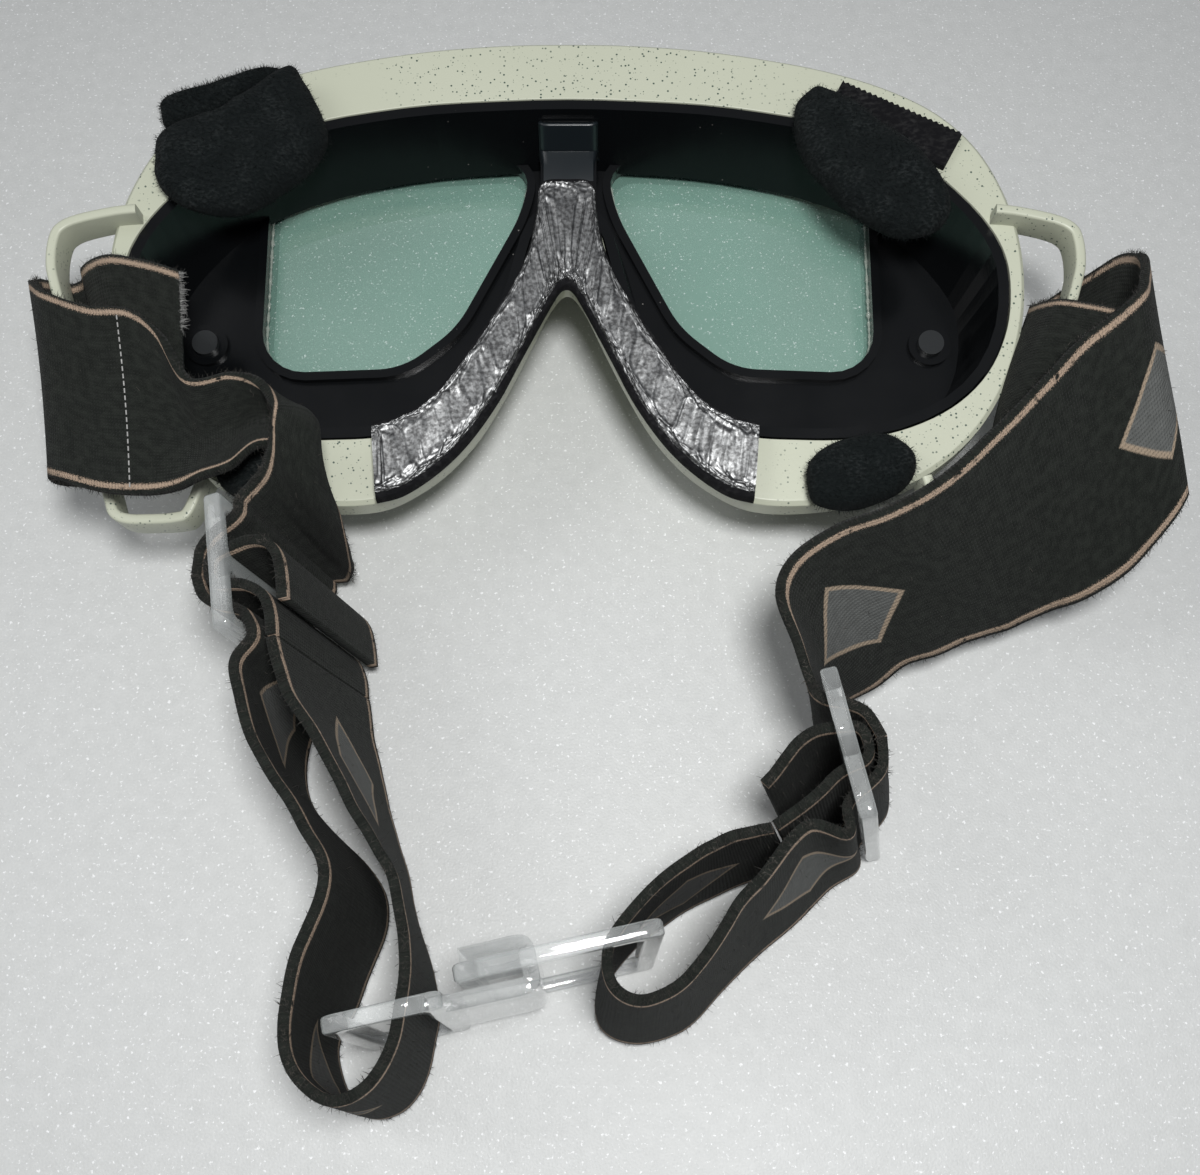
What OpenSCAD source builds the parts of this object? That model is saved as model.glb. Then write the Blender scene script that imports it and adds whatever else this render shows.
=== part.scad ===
// Laser safety goggles, lying face down on their front rim with the strap looped behind them.
// X runs across the face, Y up towards the brow, Z from the front of the goggles to the wearer.

/* [Shell] */
// Height of the back flange above the front rim, at the goggles' own origin
flange_z = 30; // [28:1:36]
// Tilt of the flange and the lens plane about X
rake = 10; // [8:0.5:11]
// Extra height of the flange at the temples
wrap = 4; // [2:0.5:5]
// Wall of the shell
shell_wall = 2.2; // [1.8:0.1:2.4]
// Thickness of the back flange
flange_t = 2; // [1.5:0.1:2.2]
// How far the front rim lies inside the back outline
front_inset = 3; // [2:0.5:4]
// Width of the lip that turns in at the front rim
front_lip = 2.4; // [1:0.2:2.6]

/* [Carrier and lenses] */
// Depth from the flange to the carrier floor
floor_depth = 13; // [11:0.5:14]
// Thickness of the carrier floor and walls
carrier_t = 1.8; // [1.4:0.1:2]
// Thickness of a glass filter plate
lens_t = 3; // [2:0.5:3.5]
// Overlap of the glass behind the edge of its window
lens_overlap = 2; // [1.5:0.1:2.4]
// Thickness of the rubber seal ring
seal_t = 0.8; // [0.5:0.1:1]
// Thickness of the snap ring in front of the glass
retainer_t = 1.6; // [1.2:0.1:2]
// Radius of a carrier stud's head
stud_r = 2.4; // [2:0.1:2.8]

/* [Pads] */
// Length of a brow pad
brow_pad_l = 35; // [30:1:37]
// Width of a brow pad
brow_pad_w = 23; // [20:1:24]
// Thickness of a brow pad
brow_pad_t = 7; // [5:0.5:8]
// Length of a cheek pad
cheek_pad_l = 19; // [17:1:20]
// Width of a cheek pad
cheek_pad_w = 12; // [10:1:13]
// Thickness of a cheek pad
cheek_pad_t = 5; // [4:0.5:6]
// Thickness of the hook tape under a pad
hook_tape_t = 1.2; // [0.8:0.1:1.5]
// Thickness of the nose foam
foam_t = 3; // [2:0.5:4]
// Thickness of the foil over the nose foam
foil_t = 0.5; // [0.4:0.1:0.8]

/* [Strap and hardware] */
// Width of the elastic strap
strap_w = 39; // [36:1:39]
// Thickness of the elastic strap
strap_t = 1.6; // [1.2:0.1:1.8]
// Width of the rails that close a frame at the strap's edges
rail_w = 2.7; // [2.4:0.1:2.8]
// Length of a slide along the strap
slide_l = 23; // [22:0.5:24]
// Thickness of a slide
slide_t = 2.6; // [2.2:0.1:2.8]
// Width of the middle bar of a slide
slide_bar = 3; // [2.6:0.1:3.2]
// Thickness of the clip halves
clip_t = 2.4; // [2:0.1:2.6]
// Length of the strap frame on the hook half
hook_frame_l = 16.5; // [16:0.5:17]
// Length of the ring half
ring_l = 29.5; // [28.5:0.5:30]
// Height of the hook
hook_h = 30; // [24:1:34]
// Depth of the bracket bar
bar_h = 7; // [6:0.5:7.5]

/* [Hidden] */
$fn = 32;

// Brings the middle of the whole part onto the origin
shift = [5.2, -0.2, 0];
// The goggles' own origin among the strap's points
goggle = [-10, 48, 0];
half_w = 81.5;
fit = 0.3;
// Height of a slide or clip frame: the strap, a fit at each edge and two rails
frame_h = strap_w + 4 * fit + 2 * rail_w;
// Height of the upright band under the flange, down to where the walls lean in
band_h = flange_t + fit + carrier_t + 0.9;

// Right half of the back outline, from the brow's middle round to the nose notch. Beside each
// point are the edge of the opening inside the flange, and how far the front rim leans up there
outline = [
    [[0, 46.2], [0, 34.6], 0], [[12, 45.9], [12, 34.2], 0], [[25, 44.6], [25, 33.2], 0],
    [[37, 42.4], [36, 31.4], 0], [[48, 39.6], [46, 29], 0], [[58.5, 35.6], [57, 24.8], 0],
    [[67.5, 30.2], [65, 19.6], 0], [[74, 23.4], [70.5, 14.2], 0], [[78.2, 15.5], [75, 8.5], 0],
    [[80.8, 6.5], [78, 2.5], 0.6], [[81.5, -3], [78.9, -4], 2], [[80.3, -13], [77.8, -12.5], 4],
    [[76.8, -23], [74, -20.5], 6], [[70.6, -32], [67.5, -26.5], 8],
    [[61.5, -38.8], [58.5, -30.3], 9.2], [[50.5, -42], [49, -31.6], 10],
    [[40, -43], [40, -31.4], 10.3], [[32, -42.2], [33, -30.8], 10.6],
    [[25.8, -39.2], [26, -29], 11], [[20.2, -34.8], [20.6, -24.6], 12],
    [[15, -28.6], [16, -18.6], 13.5], [[10.4, -20.6], [12.3, -11], 15],
    [[6.4, -12.4], [9.3, -4], 17], [[3.4, -6], [7.4, 3], 18.6], [[1.4, -2.8], [5.2, 9.5], 19.4],
    [[0, -1.8], [0, 13], 19.6]
];

// Right half of the nose pad, from the top down: its edge along the notch and its outer edge
nose_edges = [
    [[0, -2.6], [0, 15.4]], [[1.3, -3.2], [3.8, 13.6]], [[2.6, -5.2], [5.3, 8.4]],
    [[5, -9.8], [6.8, 1.6]], [[8.4, -16.4], [10.4, -6.2]], [[12.4, -24], [15.6, -15]],
    [[17.4, -31.4], [20.4, -22.2]], [[22.4, -36.6], [24.8, -26.8]], [[28, -40.6], [29.6, -29.4]],
    [[32.6, -42], [33.6, -30.6]]
];

// Corners of the right lens window with the radius of each
window_corners = [
    [7, 31.2, 5], [57.5, 28.2, 9], [57.5, -12.2, 8], [31, -11.2, 14], [21, -3.2, 20], [9, 20, 30]
];

// Corners of the right strap bracket, outer line then slot, with the radius of each
bracket_outer = [
    [74, 9.5, 1], [86.5, 7.2, 3], [91.2, 3.5, 2.5], [91.2, -2, 8], [77.2, -44.6, 3],
    [74.4, -48.8, 3], [64, -48.6, 2], [60, -39, 1]
];
bracket_slot = [
    [78.6, 5, 0.6], [88, 4.4, 1.6], [89.3, -2.2, 6], [75.3, -44.4, 2], [73.2, -46.9, 1.5],
    [65.9, -46.6, 1.5], [62.6, -37.4, 0.6], [70.4, -31.6, 6], [79.6, -13, 20]
];

bar_top = [90, -2];
bar_low = [76, -44];
bar_mid = (bar_top + bar_low) / 2;
stud_at = [68.1, -6.4];
bar_lift = wrap * pow(bar_mid.x / half_w, 2) + 0.3;

// Middle of each slide, the heading of the strap there and its lean out of upright
slide_lean = 12;
slide_mid_z = (frame_h * cos(slide_lean) + slide_t * sin(slide_lean)) / 2;
slide_left_at = [-58.2, -13.5, slide_mid_z];
slide_left_heading = -80;
slide_right_at = [36.5, -42, slide_mid_z];
slide_right_heading = -78.7;

// The clip's strap bar on the hook half, and the heading from it to the ring half
clip_at = [-40, -82, frame_h / 2];
clip_heading = 12.5;
ring_start = 17;
// The nose panel on the carrier: half its width, its lower and upper edge and its height
panel = [5.3, 17, 32.6, 5];
// Last place of each strap in its slide's frame, beside the sewn end
left_last = [13.4, 6.4];
right_last = [9.1, 13.8];

function cubic(a, b, c, d, t) =
    0.5 * (2 * b + (c - a) * t + (2 * a - 5 * b + 4 * c - d) * t * t
           + (3 * b - a - 3 * c + d) * t * t * t);
function closed_curve(p, n) =
    let (m = len(p))
    [for (i = [0:m - 1], j = [0:n - 1])
        cubic(p[(i + m - 1) % m], p[i], p[(i + 1) % m], p[(i + 2) % m], j / n)];
function open_curve(p, n) =
    let (m = len(p))
    concat([for (i = [0:m - 2], j = [0:n - 1])
        cubic(p[max(i - 1, 0)], p[i], p[i + 1], p[min(i + 2, m - 1)], j / n)], [p[m - 1]]);
function both_sides(p) =
    concat(p, [for (i = [len(p) - 2:-1:1]) [-p[i].x, p[i].y]]);
function unit(v) = v / max(norm(v), 1e-9);

// Moves each point of a clockwise outline to its right, which is inwards
function inset(c, w) =
    let (m = len(c))
    [for (i = [0:m - 1])
        let (t = unit(c[(i + 1) % m] - c[(i + m - 1) % m]))
        c[i] + w * [t.y, -t.x]];

function corner(a, b, c, r, n) =
    let (u = unit(a - b), v = unit(c - b), half = acos(u * v) / 2,
         mid = b + unit(u + v) * r / sin(half),
         s = b + u * r / tan(half) - mid, e = b + v * r / tan(half) - mid,
         a0 = atan2(s.y, s.x), turn = (atan2(e.y, e.x) - a0 + 540) % 360 - 180)
    [for (k = [0:n]) mid + r * [cos(a0 + turn * k / n), sin(a0 + turn * k / n)]];
function rounded(p, n = 6) =
    let (m = len(p))
    [for (i = [0:m - 1])
        let (a = p[(i + m - 1) % m], b = p[i], c = p[(i + 1) % m])
        each corner([a.x, a.y], [b.x, b.y], [c.x, c.y], b[2], n)];

// Height of the flange at a point of the back outline
function flange_at(p) = flange_z + tan(rake) * p.y + wrap * pow(p.x / half_w, 2);
// Height of a plane that lies a depth under the flange's middle
function plane_at(p, depth) = flange_z - depth / cos(rake) + tan(rake) * p.y;
function on_flange(c, dz) = [for (p = c) [p.x, p.y, flange_at(p) + dz]];
function on_plane(c, depth) = [for (p = c) [p.x, p.y, plane_at(p, depth)]];
function at_level(c, z) = [for (p = c) [p.x, p.y, z]];

back_edge = closed_curve(both_sides([for (p = outline) p[0]]), 2);
opening_edge = closed_curve(both_sides([for (p = outline) p[1]]), 2);
front_lean = closed_curve(both_sides([for (p = outline) [p[0].x, p[2]]]), 2);
front_edge = [for (i = [0:len(back_edge) - 1])
    inset(back_edge, front_inset)[i] + [0, front_lean[i].y]];
lens_window = rounded(window_corners);
lens_edge = inset(lens_window, -lens_overlap);

// Joins rings of equal length into one skin that closes on itself
module ring_loft(rings) {
    m = len(rings[0]);
    k = len(rings);
    polyhedron(
        points = [for (r = rings) each r],
        faces = [for (i = [0:k - 1], j = [0:m - 1])
            let (a = i * m + j, b = i * m + (j + 1) % m,
                 c = ((i + 1) % k) * m + (j + 1) % m, d = ((i + 1) % k) * m + j)
            each [[a, b, c], [a, c, d]]]
    );
}

// Joins rings into a skin with a flat cap on the first and the last ring
module capped_loft(rings) {
    m = len(rings[0]);
    k = len(rings);
    polyhedron(
        points = [for (r = rings) each r],
        faces = concat(
            [for (i = [0:k - 2], j = [0:m - 1])
                let (a = i * m + j, b = i * m + (j + 1) % m,
                     c = (i + 1) * m + (j + 1) % m, d = (i + 1) * m + j)
                each [[a, b, c], [a, c, d]]],
            [[for (j = [m - 1:-1:0]) j]],
            [[for (j = [0:m - 1]) (k - 1) * m + j]]
        )
    );
}

// A flat strap through pairs of edge points, each pair its top and its bottom edge
module ribbon(pairs, steps = 2) {
    top = open_curve([for (p = pairs) p[0]], steps);
    low = open_curve([for (p = pairs) p[1]], steps);
    m = len(top);
    rings = [for (i = [0:m - 1])
        let (a = max(i - 1, 0), b = min(i + 1, m - 1),
             along = unit(top[b] + low[b] - top[a] - low[a]),
             n = unit(cross(along, unit(top[i] - low[i]))) * strap_t / 2)
        [top[i] + n, top[i] - n, low[i] - n, low[i] + n]];
    translate(shift) capped_loft(rings);
}

module at_goggles() translate(shift + goggle) children();
module on_side(side) mirror([side < 0 ? 1 : 0, 0, 0]) children();
module tilted(z) translate([0, 0, z]) rotate([rake, 0, 0]) children();
// Stacks flat pieces square to the carrier floor, a depth under the flange
module raked(depth) tilted(flange_z - floor_depth / cos(rake))
    translate([0, 0, floor_depth - depth]) children();
function slant(points) = [for (p = points) [p.x, p.y / cos(rake)]];
module plate(points, depth_top, t) raked(depth_top + t) linear_extrude(t)
    polygon(slant(points));

// A pad's place: a point on the flange, with the flange's slope under it
module on_flange_at(x, y, turn)
    translate([x, y, flange_at([x, y])])
    rotate([rake, -atan(2 * wrap * x / half_w / half_w), 0]) rotate(turn) children();

module bracket() tilted(flange_z + bar_lift) difference() {
    linear_extrude(bar_h, center = true) polygon(slant(rounded(bracket_outer)));
    linear_extrude(bar_h + 2, center = true) polygon(slant(rounded(bracket_slot)));
    linear_extrude(bar_h + 2, center = true) polygon(slant(inset(back_edge, 0.6)));
}

module shell() color("#cfcbb4") at_goggles() {
    edge = 0.7;
    ring_loft([
        at_level(inset(front_edge, front_lip + shell_wall), 0),
        at_level(inset(front_edge, edge), 0),
        at_level(front_edge, edge),
        on_flange(inset(back_edge, 0.4), -band_h),
        on_flange(back_edge, -edge),
        on_flange(inset(back_edge, edge), 0),
        on_flange(opening_edge, 0),
        on_flange(opening_edge, -flange_t),
        on_flange(inset(back_edge, shell_wall), -flange_t),
        on_flange(inset(back_edge, shell_wall + 0.4), -band_h),
        at_level(inset(front_edge, shell_wall), shell_wall),
        at_level(inset(front_edge, front_lip + shell_wall), shell_wall)
    ]);
    for (side = [-1, 1]) on_side(side) bracket();
}

// The carrier's skirt from the lip at the flange down into its floor
sunk = 0.4;
module carrier_wall(lip) ring_loft([
    on_plane(inset(lip, 3), floor_depth + carrier_t - sunk),
    on_flange(inset(lip, 0.2), -flange_t - fit - carrier_t),
    on_flange(inset(back_edge, shell_wall + 3 * fit), -flange_t - fit - carrier_t),
    on_flange(inset(back_edge, shell_wall + fit), -flange_t - fit),
    on_flange(lip, -flange_t - fit),
    on_flange(lip, 0),
    on_flange(inset(lip, carrier_t), 0),
    on_plane(inset(lip, 3 + carrier_t), floor_depth + sunk)
]);

module carrier() color("#17181a") at_goggles() {
    lip = inset(opening_edge, fit);
    carrier_wall(lip);
    difference() {
        union() {
            plate(inset(lip, 3.6), floor_depth, carrier_t);
            for (side = [-1, 1]) on_side(side) {
                plate(inset(lens_window, -1.6), floor_depth - 1.5, 2);
                plate(inset(lens_edge, -fit - 1.4), floor_depth + carrier_t / 2,
                      carrier_t / 2 + seal_t + lens_t + retainer_t);
                raked(floor_depth + sunk) translate([stud_at.x, stud_at.y, 0])
                    cylinder(r = stud_r + 1.6, h = 1 + sunk);
            }
            plate(rounded([[-panel[0], panel[2], 0.5], [panel[0], panel[2], 0.5],
                           [panel[0], panel[1], 2], [-panel[0], panel[1], 2]]),
                  floor_depth - panel[3], panel[3] + sunk);
            translate([0.5 - panel[0], lip[0].y - 5.3, plane_at([0, lip[0].y - 5.3], floor_depth)])
                rotate([-12, 0, 0]) cube([2 * panel[0] - 1, 2.2, floor_depth - 0.5]);
        }
        for (side = [-1, 1]) on_side(side) {
            plate(lens_window, floor_depth - 4, 12);
            plate(inset(lens_edge, -fit), floor_depth + carrier_t - 0.05, 12);
            raked(floor_depth + 6) translate([stud_at.x, stud_at.y, 0])
                cylinder(r = stud_r / 2 + 0.1, h = 12);
        }
    }
}

module glass(side) color("#7fa79a") at_goggles() on_side(side)
    plate(lens_edge, floor_depth + carrier_t + seal_t, lens_t);

module lens_seal(side) color("#2a2a2a") at_goggles() on_side(side)
    raked(floor_depth + carrier_t + seal_t) linear_extrude(seal_t) difference() {
        polygon(lens_edge);
        polygon(inset(lens_window, -0.4));
    }

module lens_retainer(side) color("#1d1e20") at_goggles() on_side(side)
    raked(floor_depth + carrier_t + seal_t + lens_t + retainer_t) linear_extrude(retainer_t)
        difference() {
            polygon(lens_edge);
            polygon(inset(lens_window, 0.4));
        }

module carrier_studs() color("#202124") at_goggles() for (side = [-1, 1]) on_side(side)
    raked(floor_depth) translate([stud_at.x, stud_at.y, 1]) {
        cylinder(r = stud_r, h = 1.2);
        translate([0, 0, -1 - carrier_t]) cylinder(r = stud_r / 2, h = carrier_t + 1);
    }

// A band over the nose between its two edges, from one height above the flange to another
module nose_band(spread, z0, z1) {
    half = open_curve([for (p = nose_edges) [p[0].x, p[0].y, p[1].x, p[1].y]], 3);
    m = len(half);
    strip = concat([for (i = [m - 1:-1:1]) [-half[i][0], half[i][1], -half[i][2], half[i][3]]],
                   half);
    rings = [for (p = strip)
        let (a = [p[0], p[1]], b = [p[2], p[3]], o = unit(a - b) * spread,
             c = a + o, d = b - o)
        [[c.x, c.y, flange_at(c) + z1], [d.x, d.y, flange_at(d) + z1],
         [d.x, d.y, flange_at(d) + z0], [c.x, c.y, flange_at(c) + z0]]];
    capped_loft(rings);
}

module nose_pad_foam() color("#26262a") at_goggles() nose_band(0, fit, fit + foam_t);
module nose_pad_foil() color("#9a9a9e") at_goggles()
    nose_band(-0.5, fit + foam_t + 0.05, fit + foam_t + foil_t);

// A crowned pad: an oval base, sides that swell and a domed top
module crowned_pad(l, w, t) {
    n = 36;
    levels = [[0.9, 0], [0.98, 0.12], [1, 0.35], [0.95, 0.62], [0.8, 0.84], [0.5, 0.96], [0.2, 1]];
    capped_loft([for (s = levels) [for (k = [0:n - 1])
        let (a = -360 * k / n, c = cos(a), d = sin(a))
        [sign(c) * pow(abs(c), 0.7) * l / 2 * s[0], sign(d) * pow(abs(d), 0.7) * w / 2 * s[0],
         t * s[1]]]]);
}

module tape(l, w) linear_extrude(hook_tape_t) square([l, w], center = true);

brow_at = [59.5, 26.8];
brow_turn = -29;
cheek_at = [50.2, -37.5];
cheek_turn = 12;
module brow_place(side) at_goggles() on_side(side)
    on_flange_at(brow_at.x, brow_at.y, brow_turn) children();
module cheek_place(side) at_goggles() on_side(side)
    on_flange_at(cheek_at.x, cheek_at.y, cheek_turn) children();
module hook_tape_brow(side) color("#1a1a1c") brow_place(side) translate([0, 0, fit])
    tape(brow_pad_l - 11, 7);
module hook_tape_cheek(side) color("#1a1a1c") cheek_place(side) translate([0, 0, fit])
    tape(cheek_pad_l - 4, 6);
module brow_pad(side) color("#121317") brow_place(side)
    translate([1.1, 3.2 - brow_pad_w / 2, fit + hook_tape_t])
    crowned_pad(brow_pad_l, brow_pad_w, brow_pad_t);
module cheek_pad(side) color("#121317") cheek_place(side)
    translate([0, -1.4, fit + hook_tape_t]) crowned_pad(cheek_pad_l, cheek_pad_w, cheek_pad_t);

// How far the strap's upper edge has slid down the bracket bar
bar_gap = 4.5;
// The strap's sewn loop round a bracket bar: distance outwards from the bar and height above it
loop_turns = [
    [-13, 5.6], [-9, 5.5], [-5.6, 5], [-3.4, 2.6], [-3, -2], [-1.5, -4.9], [1.5, -4.9],
    [3.2, -2.2], [3.5, 1.8], [2.2, 5.6], [-1.5, 7.5], [-6, 7.7], [-11, 7.7]
];
function bar_point(side, out, up, across) =
    let (along = unit(bar_top - bar_low), outward = [along.y, -along.x],
         p = bar_mid + outward * out + along * across * cos(rake),
         z = flange_z + tan(rake) * p.y + bar_lift + up)
    [side * p.x, p.y, z] + goggle;
function bar_loop(side, turns) =
    [for (p = turns) [bar_point(side, p.x, p.y, strap_w / 2 - bar_gap),
                      bar_point(side, p.x, p.y, -strap_w / 2)]];

// Places in a slide's or the clip's frame: along the strap, sideways and across the strap
function placed(at, heading, lean, s, n, w) =
    let (y = n * cos(lean) - w * sin(lean), z = n * sin(lean) + w * cos(lean))
    at + [s * cos(heading) - y * sin(heading), s * sin(heading) + y * cos(heading), z];
function frame_pairs(at, heading, lean, side, path) =
    [for (p = path)
        [placed(at, heading, lean, p.x, side * p.y, strap_w / 2),
         placed(at, heading, lean, p.x, side * p.y, -strap_w / 2)]];

// The strap's way through a slide, past its end bars and round the sewn end on its middle bar
slide_pass = [
    [-11, 3.1], [-8.8, 2.6], [-7.4, 1], [-6.2, -1.4], [-4, -3.9], [0, -5], [4, -3.9], [6.2, -1.4],
    [7.4, 1], [8.8, 2.6], [12.4, 3.5]
];
// The sewn end round the middle bar and back on itself, and how the strap comes to it
end_turns = [
    [3.9, 3], [3.1, 0.8], [2.6, -1.6], [1.3, -2.7], [-1.3, -2.7], [-2.6, -1.6], [-3.1, 0.8],
    [-3.4, 4], [-2.4, 6.8]
];
end_left = concat([[13, 6.4], [9.4, 6.5], [6.2, 5.6]], end_turns, [[0, 8.4], [3.4, 8.8], [7.5, 8.7]]);
end_right = concat([[8.9, 13.3], [7.4, 9.4], [5.6, 5.8]], end_turns, [[-0.6, 9.2], [1.4, 11.6], [2.6, 13.4]]);

left_way = [
    [[-85, 31, 42], [-82, 1, 36.5]], [[-77.5, 26.8, 43], [-73, 0, 38.5]], [[-71.5, 18.6, 43], [-68, 2, 40]],
    [[-64.5, 19.2, 43.5], [-63.5, 4, 40]], [[-59.5, 17.5, 43.5], [-59.5, 8.5, 38.5]],
    [[-57, 13, 43.5], [-53, 7, 37.5]], [[-56.8, 8, 43], [-48, 0, 28]],
    [[-57.6, 2.2, 42.6], [-48.2, -1.8, 13]], [[-59, -0.2, 42.4], [-50.2, -1, 4.8]]
];
left_down = [
    [[-59, -31, 42], [-55.5, -31.5, 3.6]], [[-54.5, -43, 42.3], [-54, -44, 3.3]],
    [[-47, -54, 42.3], [-46, -56, 3.3]], [[-43, -62, 42.3], [-44, -64, 3.3]],
    [[-46, -73, 42.3], [-47, -76, 3.3]], [[-47, -81, 42.3], [-47, -83, 3.3]],
    [[-45, -88, 42.3], [-45, -90, 3.3]], [[-40, -91.5, 42.3], [-40, -93, 3.3]],
    [[-35, -89.5, 42.3], [-35, -91.5, 3.3]], [[-32, -84, 42.3], [-32, -86, 3.3]],
    [[-31, -77, 42.3], [-31, -79, 3.3]], [[-31.5, -69, 42.3], [-32, -72, 3.3]],
    [[-34, -61, 42.3], [-35, -63, 3.3]], [[-39, -53, 42.3], [-38, -53, 3.3]],
    [[-45, -43, 42.3], [-41.5, -43, 3.4]], [[-51, -34, 42], [-44, -33, 3.6]]
];
right_way = [
    [[86.7, 40, 44], [84, 3.5, 40]], [[85.3, 35, 48], [89.4, 1.6, 37]],
    [[83.2, 30.5, 50.5], [91.3, -1, 30]], [[79.4, 26.7, 50.5], [89.3, -3.8, 27.5]],
    [[73, 22, 49], [86, -7, 23]], [[66, 15, 47], [80, -10, 18]], [[58, 7, 45], [74, -11, 14]],
    [[50, 0, 43.5], [68, -13, 11]], [[41, -5, 42.6], [62, -15, 11.5]],
    [[33, -8, 42.3], [55, -18, 12]], [[26, -13, 42], [49, -20, 12]],
    [[23.5, -19, 42], [44, -23, 9]], [[25.8, -27, 42.2], [37.5, -26, 5]]
];
right_down = [
    [[25.8, -54.6, 42], [33.9, -57.6, 3.6]], [[20.8, -59.8, 42], [27, -64, 3.4]],
    [[15.8, -65.3, 42], [19.5, -70.2, 3.3]], [[11.8, -71.2, 42], [13.5, -76, 3.3]],
    [[7.4, -76.2, 42.2], [8.4, -80, 3.3]], [[2, -78.8, 42.2], [2, -81.8, 3.3]],
    [[-2.4, -76.6, 42.2], [-3.2, -79.4, 3.3]], [[-2.5, -71, 42.2], [-3.4, -73, 3.3]],
    [[2.8, -64.2, 42.2], [2.6, -66, 3.3]], [[9.5, -59, 42.1], [11.6, -60, 3.3]],
    [[15.5, -56, 41.4], [22, -55.3, 3]]
];

module strap(pairs) color("#3a3a3c") ribbon(pairs);
function left_frame(path) =
    frame_pairs(slide_left_at, slide_left_heading, slide_lean, 1, path);
function right_frame(path) =
    frame_pairs(slide_right_at, slide_right_heading, slide_lean, -1, path);
module strap_left() strap(concat(bar_loop(-1, loop_turns), left_way, left_frame(slide_pass),
    left_down, left_frame([left_last])));
module strap_right() strap(concat(
    bar_loop(1, concat([for (i = [0:8]) loop_turns[i]], [[3.4, 4.6], [6.5, 7.4]])), right_way,
    right_frame(slide_pass), right_down, right_frame([right_last])));
module strap_end_left() strap(left_frame(end_left));
module strap_end_right() strap(right_frame(end_right));

// A frame that stands across the strap, with its plate in the plane of X and Z
module upright(at, heading, lean)
    translate(shift + at) rotate([0, 0, heading]) rotate([lean, 0, 0]) rotate([90, 0, 0]) children();
module bar_frame(x0, x1, h, r) difference() {
    translate([x0, -h / 2]) square([x1 - x0, h]);
    for (x = [x0, x1], y = [-h / 2, h / 2])
        translate([x, y]) difference() {
            square(2 * r, center = true);
            translate([x == x0 ? r : -r, y < 0 ? r : -r]) circle(r);
        }
}
module slide() {
    window = (slide_l - 2 * rail_w - slide_bar) / 2;
    linear_extrude(slide_t, center = true) difference() {
        bar_frame(-slide_l / 2, slide_l / 2, frame_h, 2);
        for (side = [-1, 1])
            translate([side * (slide_bar + window) / 2, 0])
                square([window, frame_h - 2 * rail_w], center = true);
    }
}
module slide_left() color("#dfe3e4")
    upright(slide_left_at, slide_left_heading, slide_lean) slide();
module slide_right() color("#dfe3e4")
    upright(slide_right_at, slide_right_heading, slide_lean) slide();

module clip_place() upright(clip_at, clip_heading, 0) children();
clip_bar = 3;
// The ring half lies behind the hook half, this far from it
ring_aside = clip_t + 1.5 * fit;
module clip_frame(x0, x1) linear_extrude(clip_t, center = true) difference() {
    bar_frame(x0, x1, frame_h, 2.4);
    translate([x0 + clip_bar, rail_w - frame_h / 2])
        square([x1 - x0 - 2 * clip_bar, frame_h - 2 * rail_w]);
}
// The hook half: the strap's frame and a tongue that reaches round the ring half's near bar
module clip_hook() color("#e2e6e7") clip_place() {
    x0 = -clip_bar / 2;
    x1 = x0 + hook_frame_l;
    tip = ring_start + clip_bar + 6;
    lip = ring_aside + clip_t / 2 + 2 * fit;
    clip_frame(x0, x1);
    translate([0, -hook_h / 2, 0]) {
        translate([x1 - clip_bar, 0, -clip_t / 2]) cube([tip + clip_t - x1 + clip_bar, hook_h, clip_t]);
        translate([tip, 0, -lip - clip_t]) cube([clip_t, hook_h, lip + clip_t]);
        translate([ring_start - 0.5, 0, -lip - clip_t])
            cube([tip + clip_t - ring_start + 0.5, hook_h, clip_t]);
    }
}
module clip_ring() color("#e2e6e7") clip_place() translate([0, 0, -ring_aside])
    clip_frame(ring_start, ring_start + ring_l);

shell();
carrier();
glass(-1);  // lens_left
glass(1);  // lens_right
lens_seal(-1);  // lens_seal_left
lens_seal(1);  // lens_seal_right
lens_retainer(-1);  // lens_retainer_left
lens_retainer(1);  // lens_retainer_right
carrier_studs();
nose_pad_foam();
nose_pad_foil();
hook_tape_brow(-1);  // hook_tape_brow_left
hook_tape_brow(1);  // hook_tape_brow_right
hook_tape_cheek(-1);  // hook_tape_cheek_left
hook_tape_cheek(1);  // hook_tape_cheek_right
brow_pad(-1);  // brow_pad_left
brow_pad(1);  // brow_pad_right
cheek_pad(-1);  // cheek_pad_left
cheek_pad(1);  // cheek_pad_right
strap_left();
strap_right();
strap_end_left();
strap_end_right();
slide_left();
slide_right();
clip_hook();
clip_ring();
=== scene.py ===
# %% [markdown]
# # Laser safety goggles from the wearer's side
# The goggles lie face down, so the camera looks into the frame where the face goes. The CAD
# model gives every place and size. This lesson adds what the eye expects on top: rounded
# plastic edges, crinkled foil, felt, woven elastic and clear plastic. Everything is written in
# millimetres and scaled once on its way into a mesh. GOGGLE is the middle of the goggles in the
# shared frame, and SHIFT carries the strap's own measurements into it.

# %% Start from the CAD frame
import random
from math import cos, pi, radians, sin, tan

import bmesh
import bpy
from mathutils import Matrix, Vector, noise


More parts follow.
